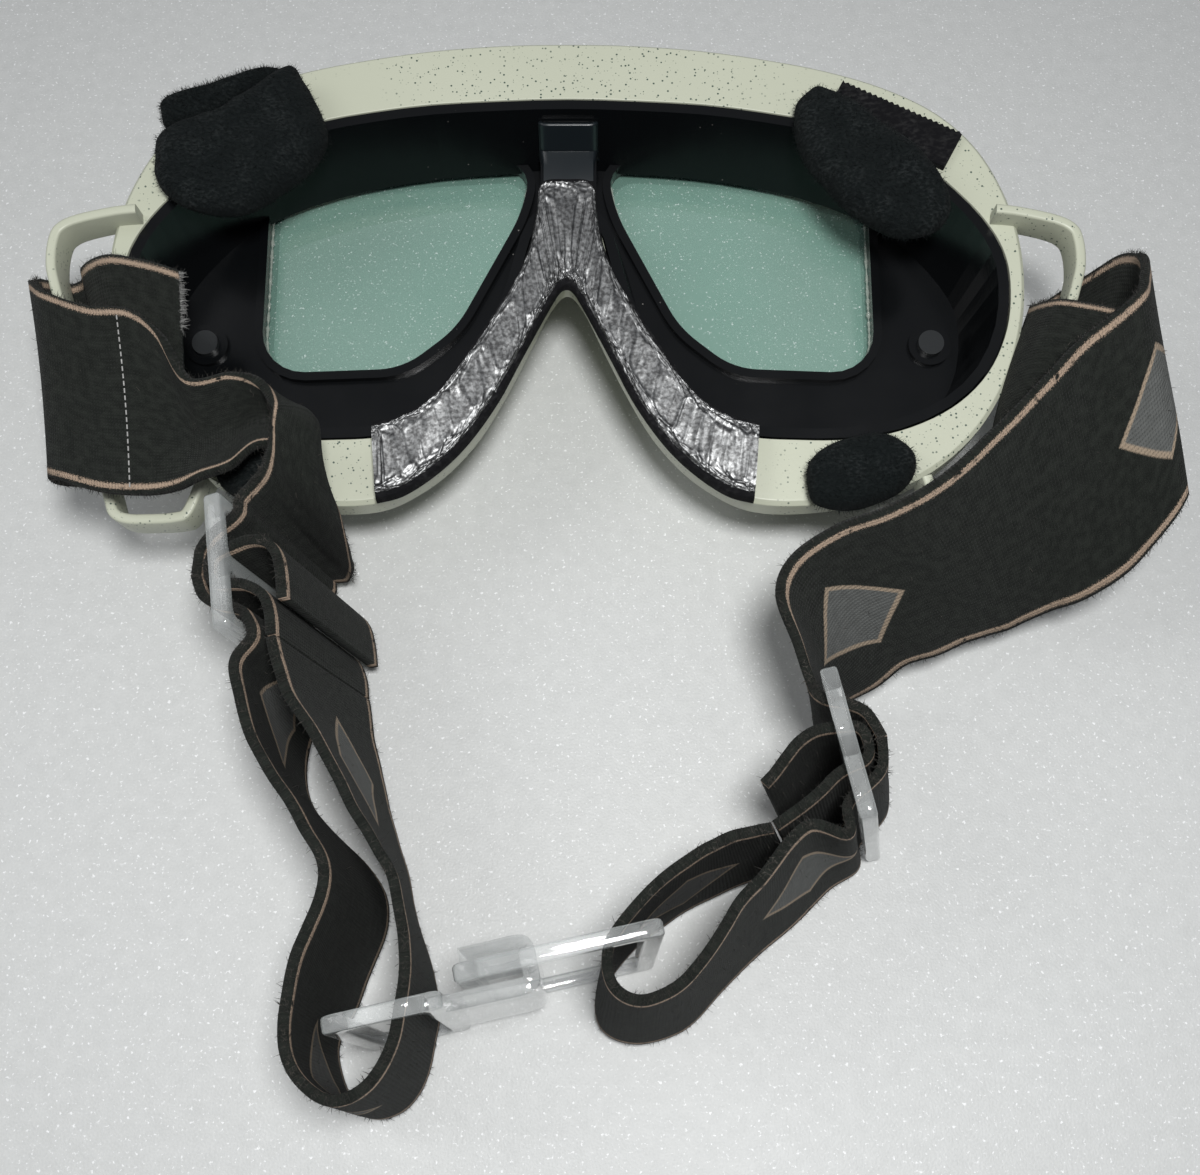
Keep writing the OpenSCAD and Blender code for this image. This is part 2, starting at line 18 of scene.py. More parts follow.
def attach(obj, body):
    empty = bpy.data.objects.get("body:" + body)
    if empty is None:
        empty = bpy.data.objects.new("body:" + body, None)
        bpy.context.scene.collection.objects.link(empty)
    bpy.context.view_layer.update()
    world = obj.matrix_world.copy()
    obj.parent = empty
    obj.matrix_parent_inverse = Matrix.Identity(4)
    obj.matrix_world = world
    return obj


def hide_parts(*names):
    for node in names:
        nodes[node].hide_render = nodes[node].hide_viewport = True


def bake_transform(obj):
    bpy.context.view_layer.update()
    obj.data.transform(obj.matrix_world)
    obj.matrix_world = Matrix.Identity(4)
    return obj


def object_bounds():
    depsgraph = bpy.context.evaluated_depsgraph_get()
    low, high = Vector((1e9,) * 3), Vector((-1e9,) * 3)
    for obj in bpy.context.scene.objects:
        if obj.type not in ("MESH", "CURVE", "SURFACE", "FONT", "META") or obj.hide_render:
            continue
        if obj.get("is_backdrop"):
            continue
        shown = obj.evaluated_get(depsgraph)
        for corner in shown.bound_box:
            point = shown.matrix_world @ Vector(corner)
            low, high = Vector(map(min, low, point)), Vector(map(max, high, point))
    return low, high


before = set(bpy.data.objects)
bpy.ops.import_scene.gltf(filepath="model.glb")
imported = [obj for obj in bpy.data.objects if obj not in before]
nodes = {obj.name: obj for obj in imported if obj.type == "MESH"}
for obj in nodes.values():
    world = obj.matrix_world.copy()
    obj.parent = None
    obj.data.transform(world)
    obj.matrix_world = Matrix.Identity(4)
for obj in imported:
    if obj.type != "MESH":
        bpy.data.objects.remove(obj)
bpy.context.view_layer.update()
MM = 0.001
GOGGLE = Vector((-4.8, 47.8, 0.0))
SHIFT = Vector((5.2, -0.2, 0.0))

# %% [markdown]
# ## One class for all finishes
# A material is a graph of nodes, and most of a graph is arithmetic. Wrapping a socket in a
# small class lets the sums be written as Python expressions. Every other node comes from one
# method, which sets the node's own options first and its sockets after that.


# %% Materials as expressions
class Value:
    """A socket that does arithmetic by adding Math nodes."""

    def __init__(self, finish, socket):
        self.finish, self.socket = finish, socket

    def _math(self, operation, a, b=0.0):
        return self.finish.node("ShaderNodeMath", {"operation": operation}, {0: a, 1: b})

    def __add__(self, other):
        return self._math("ADD", self, other)

    def __sub__(self, other):
        return self._math("SUBTRACT", self, other)

    def __rsub__(self, other):
        return self._math("SUBTRACT", other, self)

    def __mul__(self, other):
        return self._math("MULTIPLY", self, other)

    def __lt__(self, other):
        return self._math("LESS_THAN", self, other)

    def __gt__(self, other):
        return self._math("GREATER_THAN", self, other)

    def __abs__(self):
        return self._math("ABSOLUTE", self)

    def wave(self):
        return self._math("SINE", self)

    def repeat(self):
        return self._math("FRACT", self)

    def step(self, low, high):
        """Goes smoothly from 0 at low to 1 at high."""
        return self.finish.node(
            "ShaderNodeMapRange",
            {"interpolation_type": "SMOOTHSTEP"},
            {"Value": self, "From Min": low, "From Max": high},
        )

    __radd__ = __add__
    __rmul__ = __mul__


print("patterns of a value:", [n for n in vars(Value) if not n.startswith("_")])

# %% [markdown]
# ## A finish
# Every finish here is one Principled shader with nodes before it. The nodes could be placed by
# hand in the editor, but a finish that is written can be read, compared and changed by a number.
# Patterns read the piece's own coordinates in metres, so at a scale of 1000 one grain of a
# pattern is about a millimetre wide.


# %% A material and the nodes it needs
class Finish:
    """A material with a Principled shader, and one method that adds any node."""

    def __init__(self, name, color, roughness, **settings):
        self.material = bpy.data.materials.new(name)
        self.material.use_nodes = True
        self.tree = self.material.node_tree
        self.shader = self.tree.nodes["Principled BSDF"]
        self.shader.inputs["Base Color"].default_value = (*color, 1)
        self.shader.inputs["Roughness"].default_value = roughness
        for name, value in settings.items():
            socket = name.replace("_", " ").title().replace("Ior", "IOR")
            self.shader.inputs[socket].default_value = value

    def node(self, kind, options=None, sockets=None, output=0):
        """Adds a node, sets its options and then its sockets, and gives one of its outputs."""
        made = self.tree.nodes.new(kind)
        for name, value in (options or {}).items():
            setattr(made, name, value)
        for name, value in (sockets or {}).items():
            if isinstance(value, Value):
                self.tree.links.new(value.socket, made.inputs[name])
            else:
                made.inputs[name].default_value = value
        return Value(self, made.outputs[output])

    def feed(self, name, value):
        """Joins a value to one socket of the shader."""
        self.tree.links.new(value.socket, self.shader.inputs[name])

    def place(self):
        return self.node("ShaderNodeTexCoord", output="Object")

    def noise(self, where, scale, detail=3.0, output=0):
        return self.node(
            "ShaderNodeTexNoise", None, {"Vector": where, "Scale": scale, "Detail": detail}, output
        )

    def facing(self):
        return self.node("ShaderNodeLayerWeight", None, {"Blend": 0.35}, "Facing")

    def cells(self, where, scale, output="Distance", **options):
        return self.node(
            "ShaderNodeTexVoronoi", options, {"Vector": where, "Scale": scale}, output
        )

    def stretch(self, where, x, y, z):
        return self.node("ShaderNodeMapping", None, {"Vector": where, "Scale": (x, y, z)})

    def axes(self, where):
        split = self.tree.nodes.new("ShaderNodeSeparateXYZ")
        self.tree.links.new(where.socket, split.inputs[0])
        return [Value(self, s) for s in split.outputs]

    def mix(self, mask, first, second):
        """first where the mask is 0, second where it is 1; colours as three numbers or values."""
        ends = [c if isinstance(c, Value) else (*c, 1) for c in (first, second)]
        return self.node(
            "ShaderNodeMix", {"data_type": "RGBA"}, {0: mask, 6: ends[0], 7: ends[1]}, 2
        )

    def bump(self, height, depth_mm, strength=1.0):
        """Relief as deep as depth_mm, where the height goes from 0 to 1."""
        self.feed("Normal", self.node(
            "ShaderNodeBump", None,
            {"Height": height, "Distance": depth_mm * MM, "Strength": strength},
        ))
        return self


print("nodes that a finish can add:", [n for n in vars(Finish) if not n.startswith("_")])

# %% [markdown]
# ## Cream plastic
# The shell is a cream plastic with fine dark specks moulded through it. Specks could be painted
# on an image, but this model has none. They are the cores of a cell texture instead, thinned out
# by each cell's own random colour, and a broad noise gathers them in some places.

# %% Cream plastic with specks
cream = Finish("speckled_cream_plastic", (0.6, 0.585, 0.45), 0.42)
at = cream.place()
speck = cream.cells(at, 1150.0) < 0.22
few = cream.axes(cream.cells(at, 1150.0, "Color"))[0] > 0.5
patchy = cream.noise(at, 45.0, 2.0).step(0.3, 0.5)
fine = (cream.cells(at, 2100.0) < 0.2) * (cream.axes(cream.cells(at, 2100.0, "Color"))[1] > 0.75)
soft_tone = cream.mix(cream.noise(at, 25.0), (0.455, 0.475, 0.372), (0.53, 0.55, 0.44))
specks = (speck * few + fine * 0.7) * patchy
cream.feed("Base Color", cream.mix(specks, soft_tone, (0.06, 0.09, 0.07)))
cream.feed("Roughness", cream.noise(at, 90.0) * 0.2 + 0.32)
cream.bump(cream.noise(at, 1500.0, 2.0), 0.03, 0.5)
print("cream plastic:", len(cream.tree.nodes), "nodes")

# %% [markdown]
# ## Black plastics
# The carrier is a glossy black moulding that picks up pale dust, and its studs are a dark grey.
# Real black plastic reflects a little of everything, so its colour stays near zero and a noise
# in the roughness makes the shine uneven. Dust is again a thinned cell texture.

# %% Black plastic with dust
black = Finish("black_plastic", (0.003, 0.0035, 0.004), 0.25, specular_ior_level=0.4)
at = black.place()
dust = (black.cells(at, 420.0) < 0.06) * black.noise(at, 30.0).step(0.52, 0.62)
black.feed("Base Color", black.mix(dust, (0.003, 0.0035, 0.004), (0.16, 0.15, 0.14)))
black.feed("Roughness", black.noise(at, 70.0, 5.0) * 0.2 + 0.1)
black.bump(black.noise(at, 2500.0, 1.0), 0.012, 0.5)

# The studs are a plain dark grey, lighter than the carrier.
worn = Finish("dark_grey_stud_plastic", (0.02, 0.022, 0.023), 0.3)
worn.bump(worn.noise(worn.place(), 1500.0, 3.0), 0.03, 0.5)
print("black plastics:", black.material.name, worn.material.name)

# %% [markdown]
# ## Glass and clear plastic
# The filters are flat pale green glass, and the clips are a clear moulding. Both could refract
# light, but thin clear pieces over a pale floor mostly look like a tint with a bright edge. So
# each is partly transparent: the glass evenly, with fine white specks painted on it as glints,
# and the plastic less so where its surface turns away from the eye, which makes its edges stand
# out. There the plastic's colour is also painted darker: painted shade along its edges.

# %% Filter glass and clear plastic
glass = Finish("pale_green_filter_glass", (0.27, 0.47, 0.39), 0.06, alpha=0.42)
at = glass.place()
haze = glass.noise(at, 22.0, 5.0).step(0.3, 0.75)
# Painted glints: fine white specks in the glass stand in for the floor's sparkle seen through it.
painted_glints = glass.noise(at, 2200.0, 4.0).step(0.62, 0.71)
glass.feed("Base Color", glass.mix(painted_glints, (0.27, 0.47, 0.39), (0.75, 0.85, 0.82)))
glass.feed("Alpha", haze * 0.12 + painted_glints * 0.2 + 0.38)
clear = Finish("clear_plastic", (0.8, 0.83, 0.82), 0.05, specular_ior_level=1.0,
               coat_weight=1.0, coat_roughness=0.03)
at = clear.place()
cloudy = clear.noise(at, 120.0, 2.0).step(0.3, 0.75)
clear.feed("Alpha", clear.facing().step(0.05, 0.8) * 0.5 + cloudy * 0.14 + 0.12)
# Painted shade: the colour goes darker where the surface turns away from the eye.
turned = clear.facing().step(0.1, 0.7)
clear.feed("Base Color", clear.mix(turned, (0.8, 0.83, 0.82), (0.5, 0.54, 0.53)))
clear.bump(clear.noise(at, 90.0, 1.0), 0.04, 0.3)
print("transparent finishes:", glass.material.name, clear.material.name)

# %% [markdown]
# ## Foil
# The nose pad is covered with kitchen-thin metal foil. Its creases are large enough to be real
# geometry, made further down. The finish only adds what is finer than a crease: a grain in the
# colour and a roughness that keeps the metal from acting as a mirror.

# %% Crinkled foil
foil = Finish("crinkled_foil", (0.3, 0.3, 0.31), 0.4, metallic=1.0)
at = foil.place()
# The foil's colour goes darker in a fine random grain.
darker_grain = foil.noise(at, 1500.0, 6.0).step(0.3, 0.7)
foil.feed("Base Color", foil.mix(darker_grain, (0.32, 0.325, 0.325), (0.1, 0.1, 0.1)))
foil.feed("Roughness", foil.noise(at, 700.0) * 0.2 + 0.34)
foil.bump(foil.noise(at, 2200.0, 5.0), 0.05, 0.6)
print("foil:", foil.material.name)

# %% [markdown]
# ## Woven elastic
# The strap is knitted elastic. Its pattern has to follow the strap round every bend, so it
# reads the strap's own map: x runs along it in strap widths and y across it from edge to edge.
# Pale brown threads show at both edges, and a row of plain grey lozenges repeats along it.
# A sine in each direction gives the knit, because a real rib is as regular as a wave.


# %% Woven elastic
RIBS, COURSES, LOZENGES = 52, 70, 0.62


def elastic(name, pattern):
    """Webbing, plain or with lozenges; pattern is 0 or moves the row of lozenges along."""
    web = Finish(name, (0.02, 0.02, 0.018), 0.95, specular_ior_level=0.25, sheen_weight=0.03)
    where = web.node("ShaderNodeUVMap", {"uv_map": "map"})
    along, across, _ = web.axes(where)
    rib = (across * (2 * pi * RIBS)).wave()
    course = ((along * (2 * pi * COURSES)) + rib * 0.8).wave()
    fuzz = web.noise(where, 190.0, 4.0)
    worn = web.noise(where, 22.0, 5.0)
    edge = abs(across - 0.5) + (fuzz - 0.5) * 0.055
    tan_edge = edge.step(0.452, 0.46) * (1 - edge.step(0.479, 0.487)) * worn.step(0.3, 0.42)
    cloth = web.mix(worn.step(0.35, 0.7), (0.005, 0.0065, 0.005), (0.013, 0.0155, 0.0125))
    cloth = web.mix(fuzz.step(0.45, 0.75) * 0.5, cloth, (0.03, 0.034, 0.028))
    if pattern:
        tile = abs((along * LOZENGES + pattern).repeat() - 0.5) * 2.6
        slant = abs(across - 0.5) * 1.6
        reach = (tile + slant) * 2.0 + (fuzz - 0.5) * 0.06
        inside = 1 - reach.step(0.72, 0.76)
        border = reach.step(0.70, 0.74) * (1 - reach.step(0.80, 0.84))
        cloth = web.mix(inside * (worn * 0.5 + 0.5), cloth, (0.13, 0.135, 0.13))
        cloth = web.mix(border * 0.9, cloth, (0.33, 0.26, 0.19))
    web.feed("Base Color", web.mix(tan_edge, cloth, (0.36, 0.27, 0.2)))
    web.bump(rib * 0.25 + course * 0.25 + fuzz, 0.2, 0.9)
    return web.material


webbing = elastic("woven_elastic", 0)
figured_webbing = elastic("woven_elastic_with_lozenges", 0.1)
figured_webbing_right = elastic("woven_elastic_with_shifted_lozenges", 0.55)
print("webbing finishes:", 3)

# %% [markdown]
# ## Felt, hook tape, foam and thread
# These differ only in colour and in the size of their fibres, so one function makes them all:
# a fine noise, stretched a little so that it has a grain, is both the colour and the bump.
# Loose fibres that stand out from the edges are geometry and come later.


# %% Felt, hook tape and foam
def fibrous(name, color, pale, scale, depth, sheen):
    """A cloth-like finish from its dark and pale colours and the fineness of its fibres."""
    cloth = Finish(name, color, 0.95, specular_ior_level=0.15, sheen_weight=sheen)
    at = cloth.place()
    tangle = cloth.noise(cloth.stretch(at, 1.0, 1.7, 1.0), scale, 6.0)
    worn = cloth.noise(at, 160.0, 4.0).step(0.4, 0.7)
    cloth.feed("Base Color", cloth.mix(tangle.step(0.4, 0.7) * (worn * 0.8 + 0.2), color, pale))
    return cloth.bump(tangle, depth, 0.9).material


felt = fibrous("black_felt", (0.004, 0.006, 0.0062), (0.019, 0.0225, 0.0225), 1400.0, 0.6, 0.01)
hooks = fibrous("hook_tape", (0.005, 0.005, 0.006), (0.025, 0.025, 0.025), 900.0, 0.5, 0.0)
foam = fibrous("dark_foam", (0.006, 0.006, 0.007), (0.02, 0.02, 0.021), 700.0, 0.6, 0.0)
thread = fibrous("pale_thread", (0.3, 0.3, 0.29), (0.5, 0.5, 0.48), 2000.0, 0.1, 0.1)
lint = fibrous("charcoal_fibre", (0.02, 0.02, 0.018), (0.09, 0.082, 0.072), 900.0, 0.1, 0.05)
print("fibrous finishes:", [m.name for m in (felt, hooks, foam, thread, lint)])

# %% [markdown]
# ## Outlines and skins
# Every curved piece here is a flat grid whose points are moved to their places. A function of
# two numbers from 0 to 1 says where each point goes, so the same helper makes the shell, the
# straps and the foil. Curves run smoothly through a few measured points.


# %% Smooth curves and bent grids
def through(points, steps, closed=False):
    """A smooth curve through the points, as a list with a number of steps between two."""
    points = [Vector(p) for p in points]
    count = len(points)

    def pick(i):
        return points[i % count] if closed else points[max(0, min(count - 1, i))]

    curve = []
    for i in range(count if closed else count - 1):
        a, b, c, d = (pick(i + k) for k in (-1, 0, 1, 2))
        for j in range(steps):
            t = j / steps
            curve.append(0.5 * (2 * b + (c - a) * t + (2 * a - 5 * b + 4 * c - d) * t * t
                                + (3 * b - a - 3 * c + d) * t ** 3))
    return curve if closed else curve + [points[-1]]


def read(curve, t, closed=False):
    """The point at a share t of the curve, from 0 to 1."""
    last = len(curve) if closed else len(curve) - 1
    spot = t * last
    i = min(int(spot), last - 1)
    return curve[i].lerp(curve[(i + 1) % len(curve)], spot - i)


print("curves: through and read")

# %% [markdown]
# ## From a grid to a piece
# One helper bends a grid and keeps its map, which the webbing's pattern follows. Another makes
# the object: its points are already in their places, so the object itself stays at the origin,
# and its faces are smooth except at edges sharper than an angle. It also says which body the
# piece rides on, because the slides and the hook move.


# %% Bend, finish and attach
def skin(place, along, across, weld=True):
    """A grid bent into shape: place(u, v) gives each point in millimetres."""
    bm = bmesh.new()
    bm.loops.layers.uv.new("map")
    bmesh.ops.create_grid(bm, x_segments=along, y_segments=across, size=0.5, calc_uvs=True)
    for vert in bm.verts:
        u, v = (min(max(c + 0.5, 0.0), 1.0) for c in vert.co.xy)
        vert.co = place(u, v) * MM
    if weld:
        bmesh.ops.remove_doubles(bm, verts=bm.verts, dist=2e-6)
    return bm


def piece(name, bm, material, body="goggles", crisp=40, outward=True):
    """Turns a bmesh into an object that rides on a body, with edges sharp past an angle."""
    if outward:
        bmesh.ops.recalc_face_normals(bm, faces=bm.faces)
    for face in bm.faces:
        face.smooth = True
    for edge in bm.edges:
        edge.smooth = len(edge.link_faces) != 2 or edge.calc_face_angle() < radians(crisp)
    mesh = bpy.data.meshes.new(name)
    bm.to_mesh(mesh)
    bm.free()
    made = bpy.data.objects.new(name, mesh)
    bpy.context.scene.collection.objects.link(made)
    mesh.materials.append(material)
    if body:
        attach(made, body)
    return made


def modifier(made, kind, **settings):
    """Adds a modifier and its settings to a piece."""
    added = made.modifiers.new(kind.lower(), kind)
    for name, value in settings.items():
        setattr(added, name, value)


print("helpers: skin, piece and modifier")

# %% [markdown]
# ## The shell
# The shell is a deep band round the face with a flange at its back and a small lip at its
# front rim. Each row of the outline has the flange's outer and inner point, so the flange can be
# broad at the brow, narrow at the temples and narrow again over the nose. A third number says
# how far the wall leans below that point. One half is measured, and the other is its mirror.

# %% The goggles' outline
OUTLINE = [
    ((0, 46.2), (0, 34.6), 0), ((12, 45.9), (12, 34.2), 0), ((25, 44.6), (25, 33.2), 0),
    ((37, 42.4), (36, 31.4), 0), ((48, 39.6), (46, 29), 0), ((58.5, 35.6), (57, 24.8), 0),
    ((67.5, 30.2), (65, 19.6), 0), ((74, 23.4), (70.5, 14.2), 0), ((78.2, 15.5), (75, 8.5), 0),
    ((80.8, 6.5), (78, 2.5), 0.6), ((81.5, -3), (78.9, -4), 2), ((80.3, -13), (77.8, -12.5), 4),
    ((76.8, -23), (74, -20.5), 6), ((70.6, -32), (67.5, -26.5), 8),
    ((61.5, -38.8), (58.5, -30.3), 9.2), ((50.5, -42), (49, -31.6), 10),
    ((40, -43), (40, -31.4), 10.3), ((32, -42.2), (33, -30.8), 10.6),
    ((25.8, -39.2), (26, -29), 11), ((20.2, -34.8), (20.6, -24.6), 12),
    ((15, -28.6), (16, -18.6), 13.5), ((10.4, -20.6), (12.3, -11), 15),
    ((6.4, -12.4), (9.3, -4), 17), ((3.4, -6), (7.4, 3), 18.6), ((1.4, -2.8), (5.2, 9.5), 19.4),
    ((0, -1.8), (0, 13), 19.6),
]
print("rows of the outline:", len(OUTLINE))

# %% [markdown]
# ## Curves on the flange
# The flange isn't level: it rakes up towards the brow and wraps back towards the temples, where
# a face curves away. One function gives its height anywhere, so the pads, the tape, the foil
# and the brackets can all be laid on the same surface.

# %% Height of the flange, and curves on it
FLANGE_Z, RAKE, WRAP, HALF_W = 30.0, radians(10), 4.0, 81.5
AROUND = 5


def whole(side):
    """A closed curve from a column of the rows: 0 outer edge, 1 inner edge, 2 lean."""
    half = [row[side] if side < 2 else (row[0][0], row[2]) for row in OUTLINE]
    return through(half + [(-x, y) for x, y in half[-2:0:-1]], AROUND, closed=True)


def inset(curve, width):
    """Moves each point of a clockwise outline inwards."""
    moved = []
    for i, p in enumerate(curve):
        t = (curve[(i + 1) % len(curve)] - curve[i - 1]).normalized()
        moved.append(p + Vector((t.y, -t.x)) * width)
    return moved


def flange(p, lift=0.0):
    """The flange's height: raked up towards the brow and wrapped back at the temples."""
    return FLANGE_Z + tan(RAKE) * p[1] + WRAP * (p[0] / HALF_W) ** 2 + lift


def on_flange(curve, lift):
    """A flat curve laid on the flange, or below it."""
    return [Vector((p.x, p.y, flange(p, lift))) for p in curve]


def at_level(curve, z):
    """A flat curve at one height above the table."""
    return [Vector((p.x, p.y, z)) for p in curve]


back, opening, lean = whole(0), whole(1), whole(2)
front = [p + Vector((0, up.y)) for p, up in zip(inset(back, 3.0), lean)]
print("outline stations:", len(back))

# %% [markdown]
# ## One profile carried round
# A moulding like this could be cut from blocks, but its walls have no flat part to start from.
# So the profile is written as rings at several heights, from the front lip up the outside, over
# the flange and down the inside, and one skin joins them. A bevel gives the edges their shine.


# %% Carry the profile round
def ring_skin(rings):
    """Joins closed rings of equal length, given as lists of points, into one closed skin."""
    rings = rings + [rings[0]]
    around, across = len(rings[0]), len(rings) - 1

    def place(u, v):
        ring = rings[round(v * across)]
        return ring[round(u * around) % around] + GOGGLE

    return skin(place, around, across)


rings = [
    at_level(inset(front, 4.6), 0), at_level(inset(front, 0.7), 0), at_level(front, 0.7),
    on_flange(inset(back, 0.4), -5), on_flange(back, -0.7), on_flange(inset(back, 0.7), 0),
    on_flange(opening, 0), on_flange(opening, -2), on_flange(inset(back, 2.2), -2),
    on_flange(inset(back, 2.6), -5), at_level(inset(front, 2.2), 2.2),
    at_level(inset(front, 4.6), 2.2),
]
shell = piece("shell_body", ring_skin(rings), cream.material, crisp=30)
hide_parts("shell")
modifier(shell, "BEVEL", width=0.45 * MM, segments=3, limit_method="ANGLE",
         angle_limit=radians(35))
print("shell:", len(shell.data.polygons), "faces")

# %% [markdown]
# ## Strap brackets
# Beside each temple a thin hoop stands out from the shell, and the strap loops round its long
# bar. Its centre line is swept with a rounded rectangle: narrow in plan and deep the other way.
# A sweep suits it better than a bent box, because the hoop keeps its section in every corner.


# %% Sweep a section along a line
def rounded_section(half_w, half_h, radius, steps=3):
    """A rectangle with round corners, from its half width and half height."""
    spots = []
    for cx, cy, start in ((1, 1, 0), (-1, 1, 90), (-1, -1, 180), (1, -1, 270)):
        for k in range(steps + 1):
            a = radians(start + 90 * k / steps)
            spots.append((cx * (half_w - radius) + radius * cos(a),
                          cy * (half_h - radius) + radius * sin(a)))
    return spots


def sweep(path, section, up):
    """A bar along the path. The section's first number is sideways and its second is up."""
    count, sides = len(path) - 1, len(section)

    def place(u, v):
        i = round(u * count)
        run = (path[min(i + 1, count)] - path[max(i - 1, 0)]).normalized()
        side = run.cross(up).normalized()
        a, b = section[round(v * sides) % sides]
        return path[i] + side * a + up * b

    bm = skin(place, count, sides)
    bmesh.ops.holes_fill(bm, edges=[e for e in bm.edges if e.is_boundary], sides=0)
    return bm


BAR_X, BAR_HALF_W, BAR_HALF_H = 83, 0.9, 3.5
BAR_LIFT = WRAP * (BAR_X / HALF_W) ** 2 + 0.3
FLANGE_UP = Vector((0, -sin(RAKE), cos(RAKE)))
BRACKET = [(76, 7.9), (80, 7.4), (86, 6), (88.9, 4.6), (90, 2.6), (90.2, -1.5), (89.2, -6),
           (84, -21.5), (79, -37), (76.6, -44.4), (75.6, -46.8), (73.4, -47.8), (70, -47.9),
           (65.4, -47.6), (63.2, -46.4), (61.2, -40.5)]
for side, name in ((-1, "left"), (1, "right")):
    line = [Vector((side * x, y, FLANGE_Z + tan(RAKE) * y + BAR_LIFT)) + GOGGLE
            for x, y in through(BRACKET, 5)]
    section = rounded_section(BAR_HALF_W, BAR_HALF_H, 0.5)
    piece(f"strap_bracket_{name}", sweep(line, section, FLANGE_UP), cream.material)
print("bracket bars:", 2 * BAR_HALF_W, "mm wide and", 2 * BAR_HALF_H, "mm deep")

# %% [markdown]
# ## Carrier, filters and studs
# The black carrier and the flat filters are exact in the CAD model, so their nodes stay and
# only take their finishes. Building them again would gain nothing and could move them.

# %% Finish the CAD nodes that stay
KEPT = {
    "carrier": black.material, "carrier_studs": worn.material,
    "lens_retainer_left": black.material, "lens_retainer_right": black.material,
    "lens_seal_left": black.material, "lens_seal_right": black.material,
    "lens_left": glass.material, "lens_right": glass.material,
}
for name, material in KEPT.items():
    nodes[name].data.materials.clear()
    nodes[name].data.materials.append(material)
print("CAD nodes with new finishes:", len(KEPT))

# %% [markdown]
# ## Panel on the brow wall
# A low panel is moulded on the carrier's wall above the nose. It has to lie on a wall that
# curves and slopes, so a ray from the middle of the goggles finds the wall for each of its
# points. Solidify then gives it a thickness that reaches back into the wall.


# %% The moulded panel on the brow wall
PANEL_W, PANEL_TOP, PANEL_H = 10.8, -2.6, 9.1
BROW_AT, RAY_FROM = (0, 34), 24


def brow_panel(u, v):
    """A point just off the carrier's wall, found by a ray from the middle towards the brow."""
    height = flange(BROW_AT, PANEL_TOP - PANEL_H * v)
    start = Vector(((u - 0.5) * PANEL_W, RAY_FROM, height)) + GOGGLE
    _, place, _, _ = nodes["carrier"].ray_cast(start * MM, Vector((0, 1, 0)))
    return place / MM - Vector((0, 0.3, 0))


panel_finish = Finish("brow_panel_plastic", (0.009, 0.0125, 0.015), 0.3)
panel_finish.feed("Roughness", panel_finish.noise(panel_finish.place(), 70.0) * 0.2 + 0.2)
panel = piece("brow_wall_panel", skin(brow_panel, 12, 24), panel_finish.material, outward=False)
modifier(panel, "SOLIDIFY", thickness=0.9 * MM, offset=0.0)
print("brow panel:", [round(c / MM, 1) for c in panel.dimensions], "mm")

# %% [markdown]
# ## Glue round the windows
# The filters were set in clear glue, which shows as crumbs of light along each window. The
# window's corners are eased, its line is cut into short steps, and a thin round bead runs along
# it. Noise swells and thins the bead, because glue squeezed out by hand is never even.


# %% A bead of glue round each window
# The right window's corners in plan, each with the reach of its easing.
WINDOW = [((7, 31.2), 5), ((57.5, 28.2), 9), ((57.5, -12.2), 8), ((31, -11.2), 14),
          ((21, -3.2), 20), ((9, 20), 30)]
FLOOR_DEPTH, BEAD_IN, BEAD_STEP, BEAD_SIDES = 13.0, 0.3, 0.4, 8


def cut_corners(corners, steps=10):
    """A closed outline whose corners are eased within a distance of each."""
    points = []
    for i, (_, radius) in enumerate(corners):
        before, corner, after = (Vector(corners[(i + k) % len(corners)][0]) for k in (-1, 0, 1))
        a, b = (before - corner).normalized(), (after - corner).normalized()
        reach = min(radius / tan(a.angle(b) / 2), (before - corner).length * 0.48,
                    (after - corner).length * 0.48)
        start, end = corner + a * reach, corner + b * reach
        for k in range(steps + 1):
            t = k / steps
            points.append(start.lerp(corner, t).lerp(corner.lerp(end, t), t))
    return points


def short_steps(line):
    """A closed line with points added where two stand further apart than a step."""
    fine = []
    for p, after in zip(line, line[1:] + line[:1]):
        parts = max(1, round((after - p).length / BEAD_STEP))
        fine += [p.lerp(after, k / parts) for k in range(parts)]
    return fine


print("window corners:", len(WINDOW))

# %% [markdown]
# ## The bead itself
# Both windows are the same line, mirrored. A curve object with a round bevel could be the bead,
# but its thickness would be even. A bent grid takes its thickness from noise at every point.


# %% Run the bead round both windows
def bead(line, seed):
    """A round bead along a closed line on the carrier's floor."""
    middle = inset(line, BEAD_IN)
    depth = (FLOOR_DEPTH + 0.9) / cos(RAKE)

    def place(u, v):
        i = round(u * len(line)) % len(line)
        p, q, turn = line[i], middle[i], 2 * pi * round(v * BEAD_SIDES) / BEAD_SIDES
        swell = 0.24 + 0.3 * noise.noise(Vector((p.x * 1.1, p.y * 1.1, seed)))
        spot = q + (p - q).normalized() * swell * cos(turn)
        height = FLANGE_Z - depth + tan(RAKE) * q.y + swell * sin(turn)
        return Vector((spot.x, spot.y, height)) + GOGGLE

    return skin(place, len(line), BEAD_SIDES)


glue = Finish("clear_glue", (0.45, 0.5, 0.44), 0.12, alpha=0.4)
glue.bump(glue.noise(glue.place(), 1400.0, 3.0), 0.2, 1.0)
for side, name in ((-1, "left"), (1, "right")):
    corners = [((side * x, y), r) for (x, y), r in WINDOW][::side]
    line = short_steps(cut_corners(corners))
    piece(f"glue_bead_{name}", bead(line, side * 5.0), glue.material)
print("glue beads:", 2, "of", len(line), "steps")

# %% [markdown]
# ## Nose pad
# A strip of dark foam runs over the notch, with metal foil pressed over it. The foil could be
# crumpled by a simulation, but its creases only need to look random and straight. So it is a
# dense skin with a crowned section, crumpled into flat facets: a cell texture gives each place
# its two nearest cell centres, and where both are equally far there is a border, and a crease.

